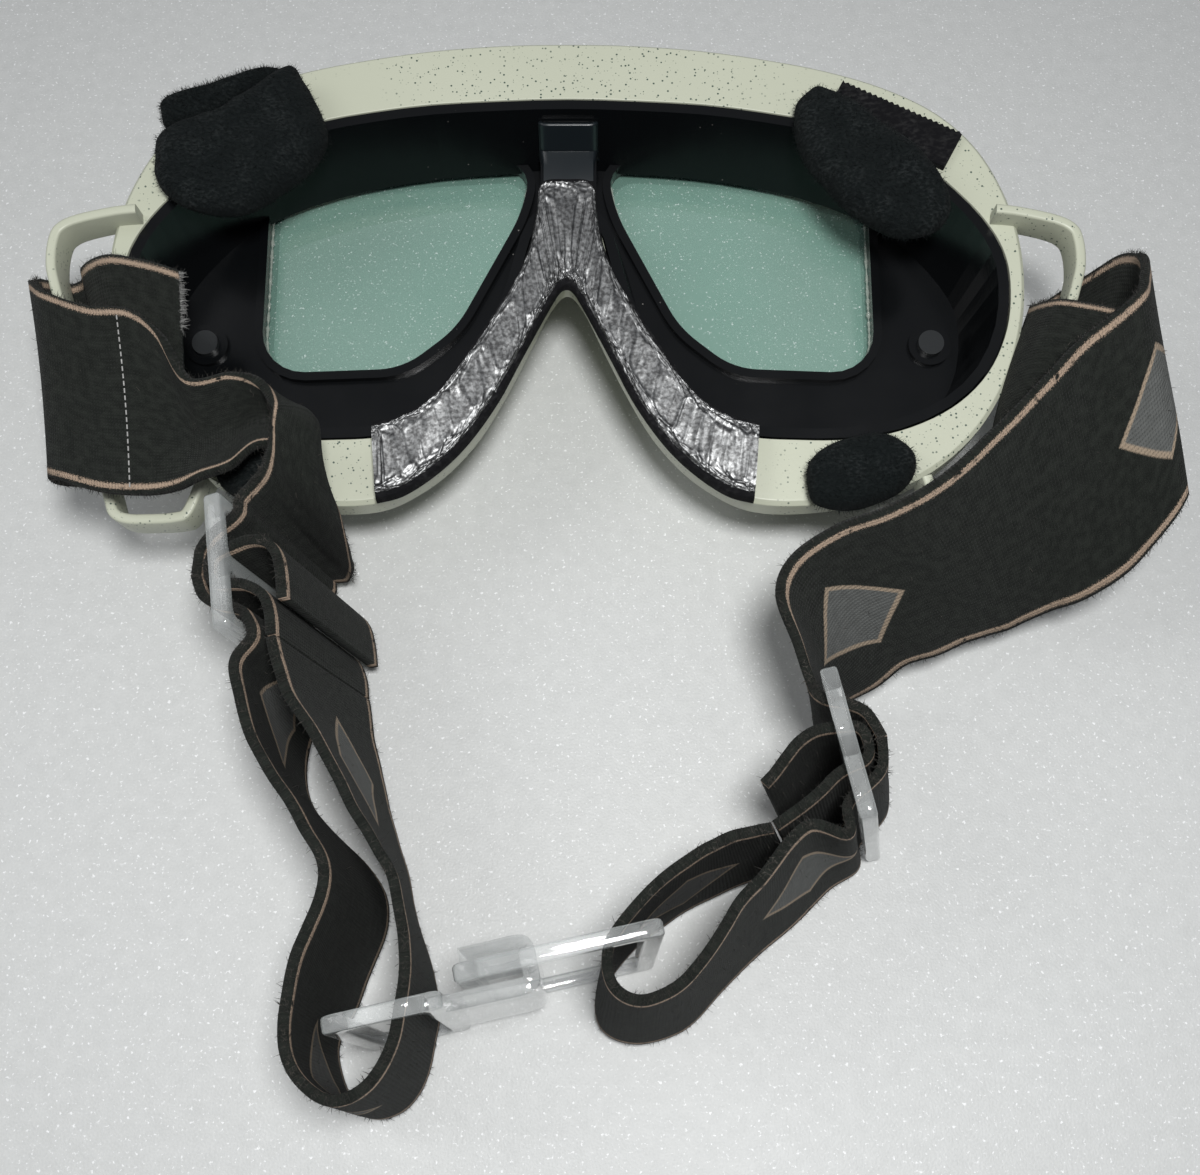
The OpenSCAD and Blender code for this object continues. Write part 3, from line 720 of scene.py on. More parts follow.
# %% Foam and foil
# Rows from the middle outwards: the strip's inner and outer edge in plan, mirrored for the left.
NOSE = [
    ((0, -2.6), (0, 15.5)), ((1.3, -3.2), (4.5, 14.7)), ((2.6, -5.2), (5.4, 8.8)),
    ((5, -9.8), (6.8, 1.6)), ((8.4, -16.4), (10.4, -6.2)), ((12.4, -24), (15.6, -15)),
    ((17.4, -31.4), (20.4, -22.2)), ((22.4, -36.6), (24.8, -26.8)), ((28, -40.6), (29.6, -29.4)),
    ((32.6, -42), (33.6, -30.6)),
]


def nose_edge(side):
    """One edge of the strip from end to end: 0 is the inner one and 1 the outer one."""
    half = [row[side] for row in NOSE]
    return through([(-x, y) for x, y in half[:0:-1]] + half, 8)


inner_edge, outer_edge = nose_edge(0), nose_edge(1)
print("edges of the strip:", len(inner_edge), "points each")

# %% [markdown]
# ## Crumples
# The foil's section is a flattened arch, and the foam's is a closed ring below it. Large facets
# carry the shape of the crumples and small ones break them up. The foam reaches past the foil
# on both sides, so a dark edge shows along the notch.


# %% Foam below and foil above
def facet(spot, width):
    """Flat cells with a raised crease of this width on the borders between them."""
    near, second = noise.voronoi(spot)[0][:2]
    return max(0.0, 1 - (second - near) / width)


def nose_strip(base, top, spread, crumple, arc):
    """A rounded band: half a turn of arc gives a cap, a whole turn a closed tube."""
    def place(u, v):
        a, b = read(inner_edge, u), read(outer_edge, u)
        turn = pi - arc * v
        reach, lift = (abs(f) ** 0.3 * (1 if f > 0 else -1) for f in (cos(turn), sin(turn)))
        out = (b - a).normalized() * spread
        p = (a - out).lerp(b + out, 0.5 + reach / 2)
        spot = Vector((p.x, p.y, flange(p, base + (top - base) * lift)))
        if crumple:
            # The cells lie slanted to the strip, so that no crease runs straight along it.
            long_facet = facet(Vector((u * 21 + v * 2.6, v * 3.2 - u * 9, 3.1)), 0.12)
            small_facet = facet(Vector((u * 46 - v * 6, v * 9 + u * 24, 8.4)), 0.18)
            lump = noise.noise(spot * 0.3 + Vector((9, 4, 1)))
            push = crumple * (long_facet * 0.6 + small_facet * 0.3 + lump * 0.3 - 0.4)
            spot += Vector((out.x * reach, out.y * reach, 1)) * push
        return spot + GOGGLE

    return place


foam_bm = skin(nose_strip(1.7, 3.2, 1.1, 0, 2 * pi), 140, 32)
bmesh.ops.holes_fill(foam_bm, edges=[e for e in foam_bm.edges if e.is_boundary], sides=0)
nose_foam = piece("nose_foam", foam_bm, foam)
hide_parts("nose_pad_foam")
nose_foil = piece("nose_foil", skin(nose_strip(2.1, 3.75, 0.3, 0.5, pi), 520, 52), foil.material,
                  outward=False, crisp=70)
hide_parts("nose_pad_foil")
print("foil:", len(nose_foil.data.polygons), "faces")

# %% [markdown]
# ## Felt pads
# Thick black felt is pressed on hook tape at the brow and the cheeks. A pad could be a cloth
# that is filled with pressure, but felt is solid and doesn't billow. So each pad is a grid
# wrapped from the middle of its base over the rim to the crown, and broad noise makes its lobes.


# %% Crowned pads
PAD_AROUND, PAD_OVER = 120, 30


def pad(outline, base, thick, lumps, seed):
    """outline is a closed curve; base(p) gives the height it sits at."""
    centre = sum(outline, Vector((0, 0))) / len(outline)
    levels = [(0, 0), (0.5, 0), (0.86, 0.02), (0.97, 0.14), (1, 0.36), (0.97, 0.6), (0.88, 0.8),
              (0.7, 0.93), (0.45, 0.99), (0.2, 1), (0, 1)]
    profile = through(levels, 3)

    def place(u, v):
        out, up = read(profile, v)
        p = centre.lerp(read(outline, u, closed=True), min(out, 1.0))
        spot = Vector((p.x, p.y, base(p) + thick * up))
        push = noise.noise(spot * 0.11 + Vector((seed, 0, 0))) * lumps
        push += noise.noise(spot * 0.4 + Vector((0, seed, 0))) * lumps * 0.25
        away = Vector((p.x - centre.x, p.y - centre.y, 0)).normalized() * out * 0.6
        return spot + (away + Vector((0, 0, up))) * push + GOGGLE

    return skin(place, PAD_AROUND, PAD_OVER)


print("pad grid:", PAD_AROUND, "round by", PAD_OVER, "over")

# %% [markdown]
# ## Loose fibres
# Felt and old webbing have short loose fibres, which show as a fuzzy edge against the light.
# Particle hair isn't a mesh and wouldn't be exported, so each fibre is a thin bent blade. All
# the blades of a piece are strips of one grid. Places are drawn from a seeded generator, so
# every run grows the same fibres.


# %% Fibres from roots, and fuzz all over a mesh
def fibres(name, roots, material, length, rng, body="goggles"):
    """Loose fibres, each a thin bent blade of two quads, from places and directions."""
    # Two rows of one grid are a blade's two edges. The faces between two blades go.
    rows = []
    for root, way in roots:
        side = Vector([rng.uniform(-1, 1) for _ in range(3)])
        lean = (way + side * 0.9).normalized()
        turn = lean.cross(side).normalized() * 0.04 * MM
        long = length * rng.uniform(0.3, 1.3) * MM
        spots = [root, root + lean * long * 0.5, root + (lean + side * 0.5).normalized() * long]
        for way_out in (-1, 1):
            rows.append([p + turn * w * way_out for p, w in zip(spots, (1, 0.8, 0.3))])
    hair, last = bmesh.new(), len(rows) - 1
    bmesh.ops.create_grid(hair, x_segments=2, y_segments=last, size=0.5)
    cell = {v: (round(v.co.x * 2 + 1), round((v.co.y + 0.5) * last)) for v in hair.verts}
    between = [f for f in hair.faces if min(cell[v][1] for v in f.verts) % 2]
    for vert, (column, row) in cell.items():
        vert.co = rows[row][column]
    bmesh.ops.delete(hair, geom=between, context="FACES")
    return piece(name, hair, material, body, outward=False, crisp=180)


def fuzz(name, bm, material, count, length, seed):
    """Fibres all over a mesh."""
    rng = random.Random(seed)
    faces = [f for f in bm.faces if f.calc_area() > 0]
    chosen = rng.choices(faces, [f.calc_area() for f in faces], k=count)
    roots = [(f.calc_center_median(), f.normal) for f in chosen]
    return fibres(name, roots, material, length, rng)


print("helpers: fibres and fuzz")

# %% [markdown]
# ## Five pieces of felt
# The felt was cut by hand, so its outlines are measured one by one. Only the left cheek's piece
# lies hidden under the strap, and it is the mirror of the right one. A piece lies on the plane
# that touches the flange at its middle, because felt this thick doesn't follow a gentle curve.


# %% Outlines of the felt, and the pieces
def pad_base(at, lift):
    """The plane of the flange under a pad, for a point in plan."""
    slope = 2 * WRAP * at[0] / HALF_W ** 2

    def height(p):
        return flange(at, lift) + tan(RAKE) * (p.y - at[1]) + slope * (p.x - at[0])

    return height


# Outlines in plan, each read off the photograph from the goggles' middle.
BROW_LEFT = [(-73.6, 17.7), (-73.3, 21), (-70.5, 23.2), (-64, 26), (-57, 30.4), (-50.8, 35.2),
             (-49.2, 35.6), (-48.2, 34), (-45.8, 30), (-43.6, 25.6), (-43.2, 21.8), (-45.2, 17.8),
             (-49, 13.6), (-54, 9.6), (-59, 7.6), (-65, 7.8), (-70, 9.8), (-73, 13.6)]
BROW_RIGHT = [(41.6, 30), (43.6, 31.8), (45, 32.4), (46.6, 31.6), (52, 28.6), (58.4, 22.6),
              (64.6, 16.4), (68, 11), (68, 7), (64.6, 3.8), (58.6, 3.4), (52.6, 7), (48, 11.4),
              (44, 16.8), (41.8, 22), (41, 26.6)]
STRIP_LEFT = [(-73.2, 27), (-72.6, 28.8), (-66, 31.4), (-59, 34.2), (-53.6, 36.4), (-51.8, 35.4),
              (-56.8, 31.4), (-64, 26.6), (-71.6, 23.8)]
CHEEK = [(41.5, -40.6), (42.4, -36.8), (45.7, -34.2), (51, -32.8), (56, -33.4), (59.6, -36.4),
         (59.2, -40.6), (55.6, -43.6), (48.2, -45.4), (42.6, -44.2)]
# Each pad's outline, the place on the flange it lies at, its thickness, its lobes and its seed.
PADS = {
    "brow_pad_left": (BROW_LEFT, (-57.5, 28.9), 6.6, 0.9, 1.0),
    "brow_pad_right": (BROW_RIGHT, (57.5, 28.9), 6.6, 0.9, 5.0),
    "brow_strip_left": (STRIP_LEFT, (-57.5, 28.9), 4.2, 0.4, 7.0),
    "cheek_pad_right": (CHEEK, (50.2, -37.5), 5.0, 0.6, 8.0),
    "cheek_pad_left": ([(-x, y) for x, y in CHEEK[::-1]], (-50.2, -37.5), 5.0, 0.5, 12.0),
}
for name, (points, spot, thick, lumps, seed) in PADS.items():
    bm = pad(through(points, 8, closed=True), pad_base(spot, 1.5), thick, lumps, seed)
    bmesh.ops.recalc_face_normals(bm, faces=bm.faces)
    fuzz(f"{name}_fibres", bm, felt, 5000 if "brow" in name else 2500, 0.9, int(seed))
    made = piece(f"{name}_felt", bm, felt)
    if name in nodes:
        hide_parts(name)
print("felt pads:", len(PADS))

# %% [markdown]
# ## Hook tape
# Strips of hook tape are stuck on the flange, and the felt clings to them. Only a corner shows
# beside the right brow pad, where the tape's cut edge is toothed. The strip is a grid with a
# zigzag along its last row, extruded to its thickness. The hooks are left to the bump.


# %% Hook tape under the pads
def tape(spot, turn, length, width, notch):
    """A flat strip on the flange with a toothed long edge, about one tooth to a millimetre."""
    a = radians(turn)
    height = pad_base(spot, 0.3)

    def place(u, v):
        x = (u - 0.5) * length
        y = (v - 0.5) * width + (notch * abs((u * length * 0.9) % 1 - 0.5) if v > 0.95 else 0)
        p = Vector((spot[0] + x * cos(a) - y * sin(a), spot[1] + x * sin(a) + y * cos(a)))
        return Vector((p.x, p.y, height(p))) + GOGGLE

    bm = skin(place, int(length * 8), 8)
    made = bmesh.ops.extrude_face_region(bm, geom=bm.faces[:])["geom"]
    bmesh.ops.translate(bm, verts=[v for v in made if isinstance(v, bmesh.types.BMVert)],
                        vec=(0, 0, 1.1 * MM))
    return bm


for side, name in ((-1, "left"), (1, "right")):
    brow_tape = piece(f"brow_tape_{name}", tape((side * 59.5, 26.8), -29 * side, 24, 7, 0.8), hooks)
    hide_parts(f"hook_tape_brow_{name}")
    cheek_tape = piece(f"cheek_tape_{name}", tape((side * 50.2, -37.5), 12 * side, 15, 6, 0.4),
                       hooks)
    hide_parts(f"hook_tape_cheek_{name}")
print("hook tapes:", 4)

# %% [markdown]
# ## The strap's route
# Each strap is a band of stiff webbing that stands on its edge. A cloth simulation would not
# leave it where the photograph shows it, so its route is measured. Each station is a point on
# the top edge and one on the bottom edge, round the bracket's bar, to the slide and round the
# clip. In a slide the webbing weaves between three bars, so there its stations are written in
# the slide's own frame, as a distance along it and one beside it.

# %% Stations of the strap
STRAP_W = 39.0
FRAME_H, SLIDE_T, SLIDE_LEAN = 45.6, 2.6, radians(12)
SLIDE_Z = (FRAME_H * cos(SLIDE_LEAN) + SLIDE_T * sin(SLIDE_LEAN)) / 2
SLIDES = {"left": (Vector((-58.2, -13.5, SLIDE_Z)) + SHIFT, radians(-80), SLIDE_LEAN),
          "right": (Vector((36.5, -42, SLIDE_Z)) + SHIFT, radians(-78.7), SLIDE_LEAN)}
SLIDE_PASS = [(-11, 3.1), (-8.8, 2.6), (-7.4, 1), (-6.2, -1.4), (-4, -3.9), (0, -5), (4, -3.9),
              (6.2, -1.4), (7.4, 1), (8.8, 2.6), (12.4, 3.5)]
END_TURNS = [(3.9, 3), (3.1, 0.8), (2.6, -1.6), (1.3, -2.7), (-1.3, -2.7), (-2.6, -1.6),
             (-3.1, 0.8), (-3.4, 4), (-2.4, 6.8)]
END_LEFT = [(13, 6.4), (9.4, 6.5), (6.2, 5.6), *END_TURNS, (0, 8.4), (3.4, 8.8), (7.5, 8.7)]
END_RIGHT = [(8.9, 13.3), (7.4, 9.4), (5.6, 5.8), *END_TURNS, (-0.6, 9.2), (1.4, 11.6),
             (2.6, 13.4)]
print("slides stand", round(SLIDE_Z, 1), "mm high at their middles")

# %% [markdown]
# ## Left strap
# From its cut end the left strap goes out round the bracket's bar, comes back over the shell
# and turns down to the slide. From there it runs on to the clip's hook, round it and back.

# %% Left strap's stations
LEFT_LOOP = [
    ((-77.2, 43, 37.5), (-72.5, 5.5, 33.5)), ((-84, 45.5, 37.2), (-76.5, 7.5, 33)),
    ((-90.5, 47, 36.6), (-81, 9.5, 31.5)), ((-96, 47.5, 32.5), (-84, 11, 27.5)),
    ((-97.5, 47.5, 28.6), (-85.5, 10.5, 22)), ((-100.5, 47, 27.6), (-88.5, 10, 20.8)),
    ((-103, 46, 30), (-92, 8.5, 23.5)), ((-103.8, 43.5, 34.5), (-95.5, 6.5, 28.5)),
    ((-101.5, 40, 38.5), (-95.5, 5.5, 33)), ((-98, 36.7, 40.5), (-92.5, 3.6, 35.3)),
    ((-89.9, 32.9, 42), (-84.8, 0.8, 37)), ((-82.8, 31.8, 42.5), (-77.5, -0.2, 38)),
]
LEFT_WAY = [
    ((-77.3, 27.4, 43), (-72, 0.4, 38.8)),
    ((-71.5, 18.6, 43), (-68, 2, 40)), ((-64.5, 19.2, 43.5), (-63.5, 4, 40)),
    ((-59.5, 17.5, 43.5), (-59.5, 8.5, 38.5)), ((-57, 13, 43.5), (-53, 7, 37.5)),
    ((-56.8, 8, 43), (-48, 0, 28)), ((-57.6, 2.2, 42.6), (-48.2, -1.8, 13)),
    ((-59, -0.2, 42.4), (-50.2, -1, 4.8)),
]
LEFT_DOWN = [
    ((-59, -31, 42), (-55.5, -31.5, 3.6)), ((-54.5, -43, 42.3), (-54, -44, 3.3)),
    ((-47, -54, 42.3), (-43, -55.4, 3.6)), ((-43, -62, 42.3), (-40.4, -63.6, 3.6)),
    ((-46, -73, 42.3), (-44, -75.6, 3.5)), ((-47, -81, 42.3), (-47, -83, 3.3)),
    ((-45, -88, 42.3), (-45, -90, 3.3)), ((-40, -91.5, 42.3), (-40, -93, 3.3)),
    ((-35, -89.5, 42.3), (-35, -91.5, 3.3)), ((-32, -84, 42.3), (-32, -86, 3.3)),
    ((-31, -77, 42.3), (-31, -79, 3.3)), ((-31.5, -69, 42.3), (-32, -72, 3.3)),
    ((-34, -61, 42.3), (-35, -63, 3.3)), ((-39, -53, 42.3), (-38, -53, 3.3)),
    ((-45, -43, 42.3), (-41.5, -43, 3.4)), ((-51, -34, 42), (-44, -33, 3.6)),
]
print("left stations:", len(LEFT_LOOP + LEFT_WAY + LEFT_DOWN))

# %% [markdown]
# ## Right strap
# The right strap rises high where it leaves its bracket and lies half flat on its way to the
# slide, so its face shows from above. Its lower run passes round the clip's ring.

# %% Right strap's stations
RIGHT_LOOP = [
    ((82.8, 33, 41), (76, 8, 33)), ((78, 34, 41), (70.5, 9, 33.4)),
    ((74.6, 35.6, 39.6), (66.5, 9.5, 32.8)), ((73, 37.6, 35.5), (64, 9, 28.5)),
    ((73.4, 40.5, 30.5), (63, 8.6, 23.3)), ((76, 43.5, 27.2), (64, 7.5, 20.6)),
    ((80, 46, 27), (67.6, 8.6, 20.4)), ((84.3, 47.2, 30), (73, 10, 22.4)),
    ((87.6, 47.4, 35.5), (80, 9.8, 26)), ((88.4, 44.4, 41), (87, 7, 28)),
    ((87.2, 40, 45.5), (91.5, 5, 31)),
]
RIGHT_WAY = [
    ((85.3, 35, 48.6), (92.7, 2.6, 33)),
    ((83.2, 30.5, 50.5), (91.8, -0.8, 31.4)), ((79.4, 26.7, 50.5), (89.3, -3.8, 27.5)),
    ((73, 22, 49), (86, -7, 23)), ((66, 15, 47), (80, -10, 18)), ((58, 7, 45), (74, -11, 14)),
    ((50, 0, 43.5), (68, -13, 11)), ((41, -5, 42.6), (62, -15, 11.5)),
    ((33, -8, 42.3), (55, -18, 12)), ((26, -13, 42), (49, -20, 12)),
    ((23.5, -19, 42), (44, -23, 9)), ((25.8, -27, 42.2), (37.5, -26, 5)),
]
RIGHT_DOWN = [
    ((25.8, -54.6, 42), (33.9, -57.6, 3.6)), ((20.8, -59.8, 42), (27, -64, 3.4)),
    ((15.8, -65.3, 42), (19.5, -70.2, 3.3)), ((11.8, -71.2, 42), (13.5, -76, 3.3)),
    ((7.4, -76.2, 42.2), (8.4, -80, 3.3)), ((2, -78.8, 42.2), (2, -81.8, 3.3)),
    ((-2.4, -76.6, 42.2), (-3.2, -79.4, 3.3)), ((-2.5, -71, 42.2), (-3.4, -73, 3.3)),
    ((2.8, -64.2, 42.2), (2.6, -66, 3.3)), ((9.5, -59, 42.1), (11.6, -60, 3.3)),
    ((15.5, -56, 41.4), (22, -55.3, 3)),
]
print("right stations:", len(RIGHT_LOOP + RIGHT_WAY + RIGHT_DOWN))

# %% [markdown]
# ## From stations to edges
# A station in a slide turns and leans with the slide before it becomes a point on each edge of
# the webbing. A station elsewhere already holds both points and is only moved to the frame. So
# a slide can be placed anew without touching the numbers of its weave.


# %% Stations as edge points in the shared frame
def slide_pairs(name, turns):
    """Edge points in a slide's own frame, from the distance along it and beside it."""
    at, heading, lean = SLIDES[name]
    side = 1 if name == "left" else -1
    pairs = []
    for s, n in turns:
        ends = []
        for w in (STRAP_W / 2, -STRAP_W / 2):
            y = side * n * cos(lean) - w * sin(lean)
            z = side * n * sin(lean) + w * cos(lean)
            ends.append(at + Vector((s * cos(heading) - y * sin(heading),
                                     s * sin(heading) + y * cos(heading), z)))
        pairs.append(tuple(ends))
    return pairs


def free_pairs(way):
    """Edge points of a stretch that is written from the strap's own measurements."""
    return [(Vector(top) + SHIFT, Vector(low) + SHIFT) for top, low in way]


top, low = slide_pairs("left", [(0, 0)])[0]
print("webbing width in a slide:", round((top - low).length, 1), "mm")

# %% [markdown]
# ## Ribbons
# A smooth curve runs along each edge, and a grid between the two is the ribbon. Solidify gives
# it its thickness. Where the two edges come closer than the webbing is wide, it bows out, as
# cloth does. Ripples make it look worn and slack, and loose fibres stand out, most of them at
# the edges. The map is stretched to the real length, so the weave keeps its size everywhere.


# %% Ribbons with thickness and a map
def ribbon(name, pairs, material, ripple=0.35, body=None, seed=0.0, across=26):
    """The ribbon, its loose fibres, its length and the function that places its points."""
    top = through([p[0] for p in pairs], 10)
    low = through([p[1] for p in pairs], 10)
    middle = [(a + b) / 2 for a, b in zip(top, low)]
    walk = [0.0]
    for a, b in zip(middle, middle[1:]):
        walk.append(walk[-1] + (b - a).length)
    count = len(top) - 1

    def place(u, v, lift=0.0):
        i = round(u * count)
        run = (middle[min(i + 1, count)] - middle[max(i - 1, 0)]).normalized()
        wide = low[i] - top[i]
        face = run.cross(wide).normalized()
        slack = max(0.0, STRAP_W - wide.length)
        wave = noise.noise(Vector((walk[i] * 0.16, seed, v * 1.5))) * ripple
        bow = sin(pi * v) * slack * 0.16
        return top[i] + wide * v + face * (wave + bow + lift)

    bm = skin(place, count, across, weld=False)
    layer = bm.loops.layers.uv["map"]
    for face in bm.faces:
        for loop in face.loops:
            u, v = loop[layer].uv
            loop[layer].uv = (walk[round(u * count)] / STRAP_W, v)
    made = piece(name, bm, material, body, crisp=75, outward=False)
    modifier(made, "SOLIDIFY", thickness=1.5 * MM, offset=0.0)
    rng = random.Random(int(seed))
    roots = []
    for _ in range(int(walk[-1] * 34)):
        u, side, edge = rng.random(), rng.choice((-0.7, 0.7)), rng.random() < 0.75
        v = rng.choice((0.0, 1.0)) if edge else rng.random()
        root = place(u, v, side * rng.random() if edge else side)
        way = (place(u, v) - place(u, 1 - v) if edge else root - place(u, v)).normalized()
        roots.append((root * MM, way))
    hair = fibres(f"{name}_fibres", roots, lint, 1.0, rng, body)
    return made, hair, walk[-1], place


print("webbing:", STRAP_W, "mm wide")

# %% [markdown] ## Four ribbons Each strap is two ribbons that meet at its
# slide. The short sewn ends ride on their slides whole.

# %% Both straps and their sewn ends
left_frame = slide_pairs("left", SLIDE_PASS)
right_frame = slide_pairs("right", SLIDE_PASS)
upper_left, left_hair_1, run_1, left_place = ribbon(
    "strap_left_upper", free_pairs(LEFT_LOOP + LEFT_WAY) + left_frame[:6],
    webbing, seed=1.0)
lower_left, left_hair_2, run_2, _ = ribbon(
    "strap_left_lower", left_frame[5:] + free_pairs(LEFT_DOWN) + slide_pairs("left", [(13.4, 6.4)]),
    figured_webbing, seed=2.0)
upper_right, right_hair_1, run_3, _ = ribbon(
    "strap_right_upper", free_pairs(RIGHT_LOOP + RIGHT_WAY) + right_frame[:6],
    figured_webbing_right, seed=3.0)
lower_right, right_hair_2, run_4, _ = ribbon(
    "strap_right_lower",
    right_frame[5:] + free_pairs(RIGHT_DOWN) + slide_pairs("right", [(9.1, 13.8)]),
    figured_webbing, seed=4.0)
BENDS = [
    ((upper_left, left_hair_1), "goggles", "left_adjuster",
     (-0.0608, 0.0068, 0.022), (-0.0528, -0.0032, 0.022)),
    ((lower_left, left_hair_2), "left_adjuster", "goggles",
     (-0.0496, -0.0275, 0.022), (-0.0436, -0.047, 0.022)),
    ((upper_right, right_hair_1), "goggles", "right_adjuster",
     (0.0384, -0.017, 0.022), (0.0384, -0.031, 0.022)),
    ((lower_right, right_hair_2), "right_adjuster", "goggles",
     (0.0252, -0.0572, 0.022), (0.0132, -0.0692, 0.022)),
]
for made, first, second, start, end in BENDS:
    for each in made:
        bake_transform(each)
        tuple(start)
        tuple(end)
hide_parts("strap_left")
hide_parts("strap_right")
for name, turns in (("left", END_LEFT), ("right", END_RIGHT)):
    end, *_ = ribbon(f"strap_end_{name}_sewn", slide_pairs(name, turns), webbing, 0.1,
                     f"{name}_adjuster", 5.0)
    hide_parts(f"strap_end_{name}")
print("left strap", round(run_1 + run_2), "mm, right strap", round(run_3 + run_4), "mm")

# %% [markdown]
# ## Stitches and a frayed end
# A row of thread crosses the left strap beside its bracket, and the cut end there has come
# loose. The stitches could be drawn by the material, but they cast small shadows, so each is a
# thin box. The ribbon's own function lays it on the face of the webbing. The frayed threads are
# the same fibres as on the felt, only longer and all pointing one way.

# %% A row of stitches and a frayed end
STITCHES, STITCH_GAP, STITCH_L, STITCH_LIFT = 24, 0.039, 0.024, -0.82
STITCH_AT = 10.7 / (len(LEFT_LOOP + LEFT_WAY) + 5)
stitches = bmesh.new()
for k in range(STITCHES):
    v = 0.05 + k * STITCH_GAP
    a, b = (left_place(STITCH_AT, w, STITCH_LIFT) for w in (v, v + STITCH_L))
    turn = (b - a).to_track_quat("X", "Z").to_matrix().to_4x4()
    size = Matrix.Diagonal(((b - a).length, 0.2, 0.2, 1))
    place = Matrix.Scale(MM, 4) @ Matrix.Translation((a + b) / 2) @ turn @ size
    bmesh.ops.create_cube(stitches, size=1, matrix=place)
piece("left_loop_stitches", stitches, thread, outward=False)
rng = random.Random(3)
ends = [rng.uniform(0, 0.3) for _ in range(260)]
roots = [(left_place(0, v, rng.uniform(-0.6, 0.6)) * MM, Vector((1, -0.1, 0.2))) for v in ends]
fibres("left_loop_frayed_end", roots, thread, 1.3, rng)
print("stitches:", STITCHES, "frayed fibres:", len(ends))

# %% [markdown]
# ## Slides
# The slides and the two clip halves are flat clear mouldings. Windows cut by booleans would
# leave faces that shade badly, so each starts as a grid whose lines fall on the edges of its
# bars. The faces in the windows are deleted, the rest is given its thickness, and every edge is
# rounded, which is what makes clear plastic catch the light.


# %% Flat frames from a grid
RAILS = [-22.8, -20.1, 20.1, 22.8]
SLIDE_BARS = [-11.5, -8.8, -1.5, 1.5, 8.8, 11.5]


def frame_plate(xs, ys, holes, thick, radius):
    """A plate on grid lines xs and ys, without the cells named in holes."""
    bm = bmesh.new()
    bmesh.ops.create_grid(bm, x_segments=len(xs) - 1, y_segments=len(ys) - 1, size=0.5)
    for vert in bm.verts:
        vert.co = (xs[round((vert.co.x + 0.5) * (len(xs) - 1))],
                   ys[round((vert.co.y + 0.5) * (len(ys) - 1))], -thick / 2)
    middles = {face: face.calc_center_median() for face in bm.faces}
    gone = [face for face, c in middles.items()
            if (sum(x < c.x for x in xs) - 1, sum(y < c.y for y in ys) - 1) in holes]
    bmesh.ops.delete(bm, geom=gone, context="FACES")
    made = bmesh.ops.extrude_face_region(bm, geom=bm.faces[:])["geom"]
    bmesh.ops.translate(bm, verts=[v for v in made if isinstance(v, bmesh.types.BMVert)],
                        vec=(0, 0, thick))
    bmesh.ops.recalc_face_normals(bm, faces=bm.faces)
    upright_edges = [e for e in bm.edges if e.calc_face_angle(0) > 1
                     and abs(e.verts[0].co.z - e.verts[1].co.z) > thick / 2]
    bmesh.ops.bevel(bm, geom=upright_edges, offset=radius, segments=4, profile=0.5,
                    affect="EDGES", material=-1)
    rim = [e for e in bm.edges if e.calc_face_angle(0) > 1]
    bmesh.ops.bevel(bm, geom=rim, offset=0.5, segments=3, profile=0.5, affect="EDGES",
                    material=-1)
    return bm


print("rails", RAILS[-1] - RAILS[0], "mm apart outside")

# %% [markdown]
# ## Standing the slides up
# A plate is made flat, where its numbers are easy to read. It is then stood on its edge, turned
# along the strap and leaned a little, as the strap's pull leans it.


# %% Both slides
def stand(bm, at, heading, lean):
    """Stands a plate across the strap and puts it in place, from millimetres."""
    turn = (Matrix.Rotation(heading, 4, "Z") @ Matrix.Rotation(lean, 4, "X")
            @ Matrix.Rotation(radians(90), 4, "X"))
    bmesh.ops.transform(bm, matrix=Matrix.Scale(MM, 4) @ Matrix.Translation(at) @ turn,
                        verts=bm.verts)
    return bm


for name, (at, heading, lean) in SLIDES.items():
    slide = frame_plate(SLIDE_BARS, RAILS, {(1, 1), (3, 1)}, SLIDE_T, 1.2)
    made = piece(f"slide_{name}_moulding", stand(slide, at, heading, lean), clear.material,
                 f"{name}_adjuster")
    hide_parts(f"slide_{name}")
print("slides:", 2 * SLIDE_BARS[-1], "by", 2 * RAILS[-1], "mm")

# %% [markdown]
# ## Clip
# The clip joins the two straps behind the head. Its ring and the frame of its hook are plates
# like the slides. The hook's tongue is one bent strip that passes through the ring and turns
# back round its bar. A bend is easiest as a line drawn in plan: the line is given a width, and
# then Solidify and Bevel. Hook and ring ride on two bodies, because the clip opens.

# %% The clip's hook and ring
CLIP_AT, CLIP_HEADING = Vector((-40, -82, FRAME_H / 2)) + SHIFT, radians(12.5)
CLIP_T, CLIP_BAR, RING_X, RING_L, RING_ASIDE, TONGUE_W = 2.4, 3, 17, 29.5, 2.85, 30
ring_bars = [RING_X, RING_X + CLIP_BAR, RING_X + RING_L - CLIP_BAR, RING_X + RING_L]
ring = frame_plate(ring_bars, RAILS, {(1, 1)}, CLIP_T, 2.0)
bmesh.ops.translate(ring, verts=ring.verts, vec=(0, 0, -RING_ASIDE))
made = piece("clip_ring_moulding", stand(ring, CLIP_AT, CLIP_HEADING, 0), clear.material)
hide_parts("clip_ring")
hook = frame_plate([-1.5, 1.5, 12, 15], RAILS, {(1, 1)}, CLIP_T, 2.0)
made = piece("clip_hook_frame", stand(hook, CLIP_AT, CLIP_HEADING, 0), clear.material, "hook")
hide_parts("clip_hook")
HOOK_LINE = through([(12.4, 0), (20, 0), (26.2, 0), (27.2, -0.9), (27.2, -3), (27.2, -5),
                     (26.2, -5.85), (22, -5.85), (17.7, -5.85)], 4)


def hook_place(u, v):
    """A point of the tongue in the clip's own frame."""
    along, aside = read(HOOK_LINE, u)
    return Vector((along, (v - 0.5) * TONGUE_W, aside))


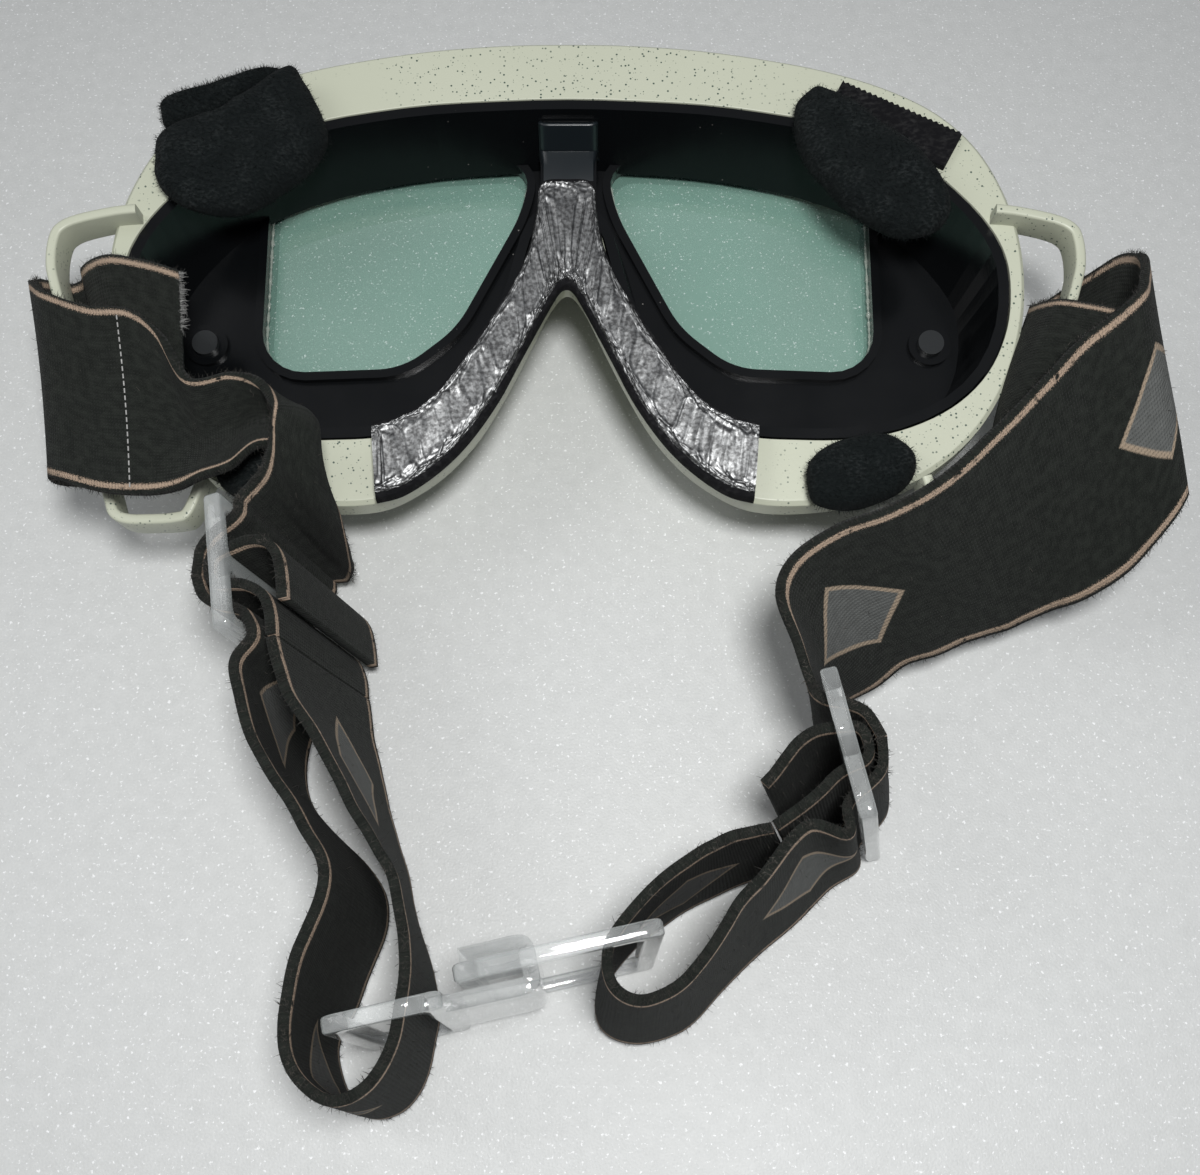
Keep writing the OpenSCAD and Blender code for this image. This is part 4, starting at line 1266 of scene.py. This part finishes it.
bm = skin(lambda u, v: hook_place(u, v) / MM, 32, 12)
stand(bm, CLIP_AT, CLIP_HEADING, 0)
made = piece("clip_hook_tongue", bm, clear.material, "hook", outward=False)
modifier(made, "SOLIDIFY", thickness=(CLIP_T - 0.1) * MM, offset=0.0)
modifier(made, "BEVEL", width=0.4 * MM, segments=2, limit_method="ANGLE", angle_limit=radians(50))
print("clip halves: hook and ring")

# %% [markdown]
# ## Floor
# The goggles lie on a pale sheet with a faint sparkle. Grains modelled one by one would be far
# too many, so two fine noises mottle the sheet, and the peaks of a third are the glints.

# %% Pale floor
floor_finish = Finish("pale_floor", (0.62, 0.61, 0.59), 0.5)
at = floor_finish.place()
grain = floor_finish.noise(at, 2300.0, 3.0)
glint = floor_finish.noise(at, 1500.0, 6.0).step(0.6, 0.7)
mottle = floor_finish.noise(at, 350.0, 5.0)
tone = floor_finish.mix((grain + mottle) * 0.5, (0.49, 0.5, 0.49), (0.69, 0.7, 0.69))
floor_finish.feed("Base Color", floor_finish.mix(glint, tone, (0.86, 0.87, 0.87)))
floor_finish.bump(grain, 0.15, 0.5)
bm = bmesh.new()
bmesh.ops.create_grid(bm, x_segments=2, y_segments=2, size=1.5)
floor = piece("floor", bm, floor_finish.material, body=None, outward=False)
floor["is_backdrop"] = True
print("floor:", round(floor.dimensions.x, 1), "m wide")

# %% [markdown]
# ## Light
# The photograph has short soft shadows under the straps, so its lamp was near and overhead. A
# disk lamp gives such a shadow: the larger the disk, the softer the edge. A weaker one from the
# side brings out the shape, and a dim bluish world fills the shadows.


# %% Lamps and world
def lamp(name, place, size, power, aim=(0, 0, 0.02)):
    """A round lamp of a size in metres and a power in watts that looks at a point."""
    data = bpy.data.lights.new(name, "AREA")
    data.shape, data.size, data.energy = "DISK", size, power
    made = bpy.data.objects.new(name, data)
    made.location = place
    made.rotation_euler = (Vector(aim) - Vector(place)).to_track_quat("-Z", "Y").to_euler()
    bpy.context.scene.collection.objects.link(made)


lamp("overhead", (0.025, -0.085, 0.36), 0.07, 1.2)
lamp("shape", (-0.5, 0.1, 0.6), 0.4, 1.0)
world = bpy.data.worlds.new("studio")
bpy.context.scene.world = world
world.use_nodes = True
world.node_tree.nodes["Background"].inputs["Color"].default_value = (0.9, 0.93, 1.0, 1)
world.node_tree.nodes["Background"].inputs["Strength"].default_value = 0.2
print("lamps: overhead and shape")

# %% [markdown]
# ## Camera
# The photograph was taken from above, a little from the strap's side. The camera's place, its
# tilt and its lens were found by matching the width of the strap and the corners of the shell,
# so the picture can be laid over the photograph. The Standard view keeps the colours as given.

# %% Camera
camera_data = bpy.data.cameras.new("camera")
camera_data.lens, camera_data.sensor_width = 39.6, 36.0
camera_data.clip_start = 0.01
camera = bpy.data.objects.new("camera", camera_data)
camera.location = (0.0012, -0.0942, 0.230)
camera.rotation_euler = (radians(22), 0, 0)
bpy.context.scene.collection.objects.link(camera)
bpy.context.scene.camera = camera
bpy.context.scene.view_settings.view_transform = "Standard"
print("camera height above the table:", round(camera.location.z / MM), "mm")

# %% [markdown]
# ## Sizes and the end
# The last step measures everything that shows and prints the size of its box.

# %% Sizes and the end
low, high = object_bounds()
print("visual box in mm:", [round(c / MM, 1) for c in high - low])
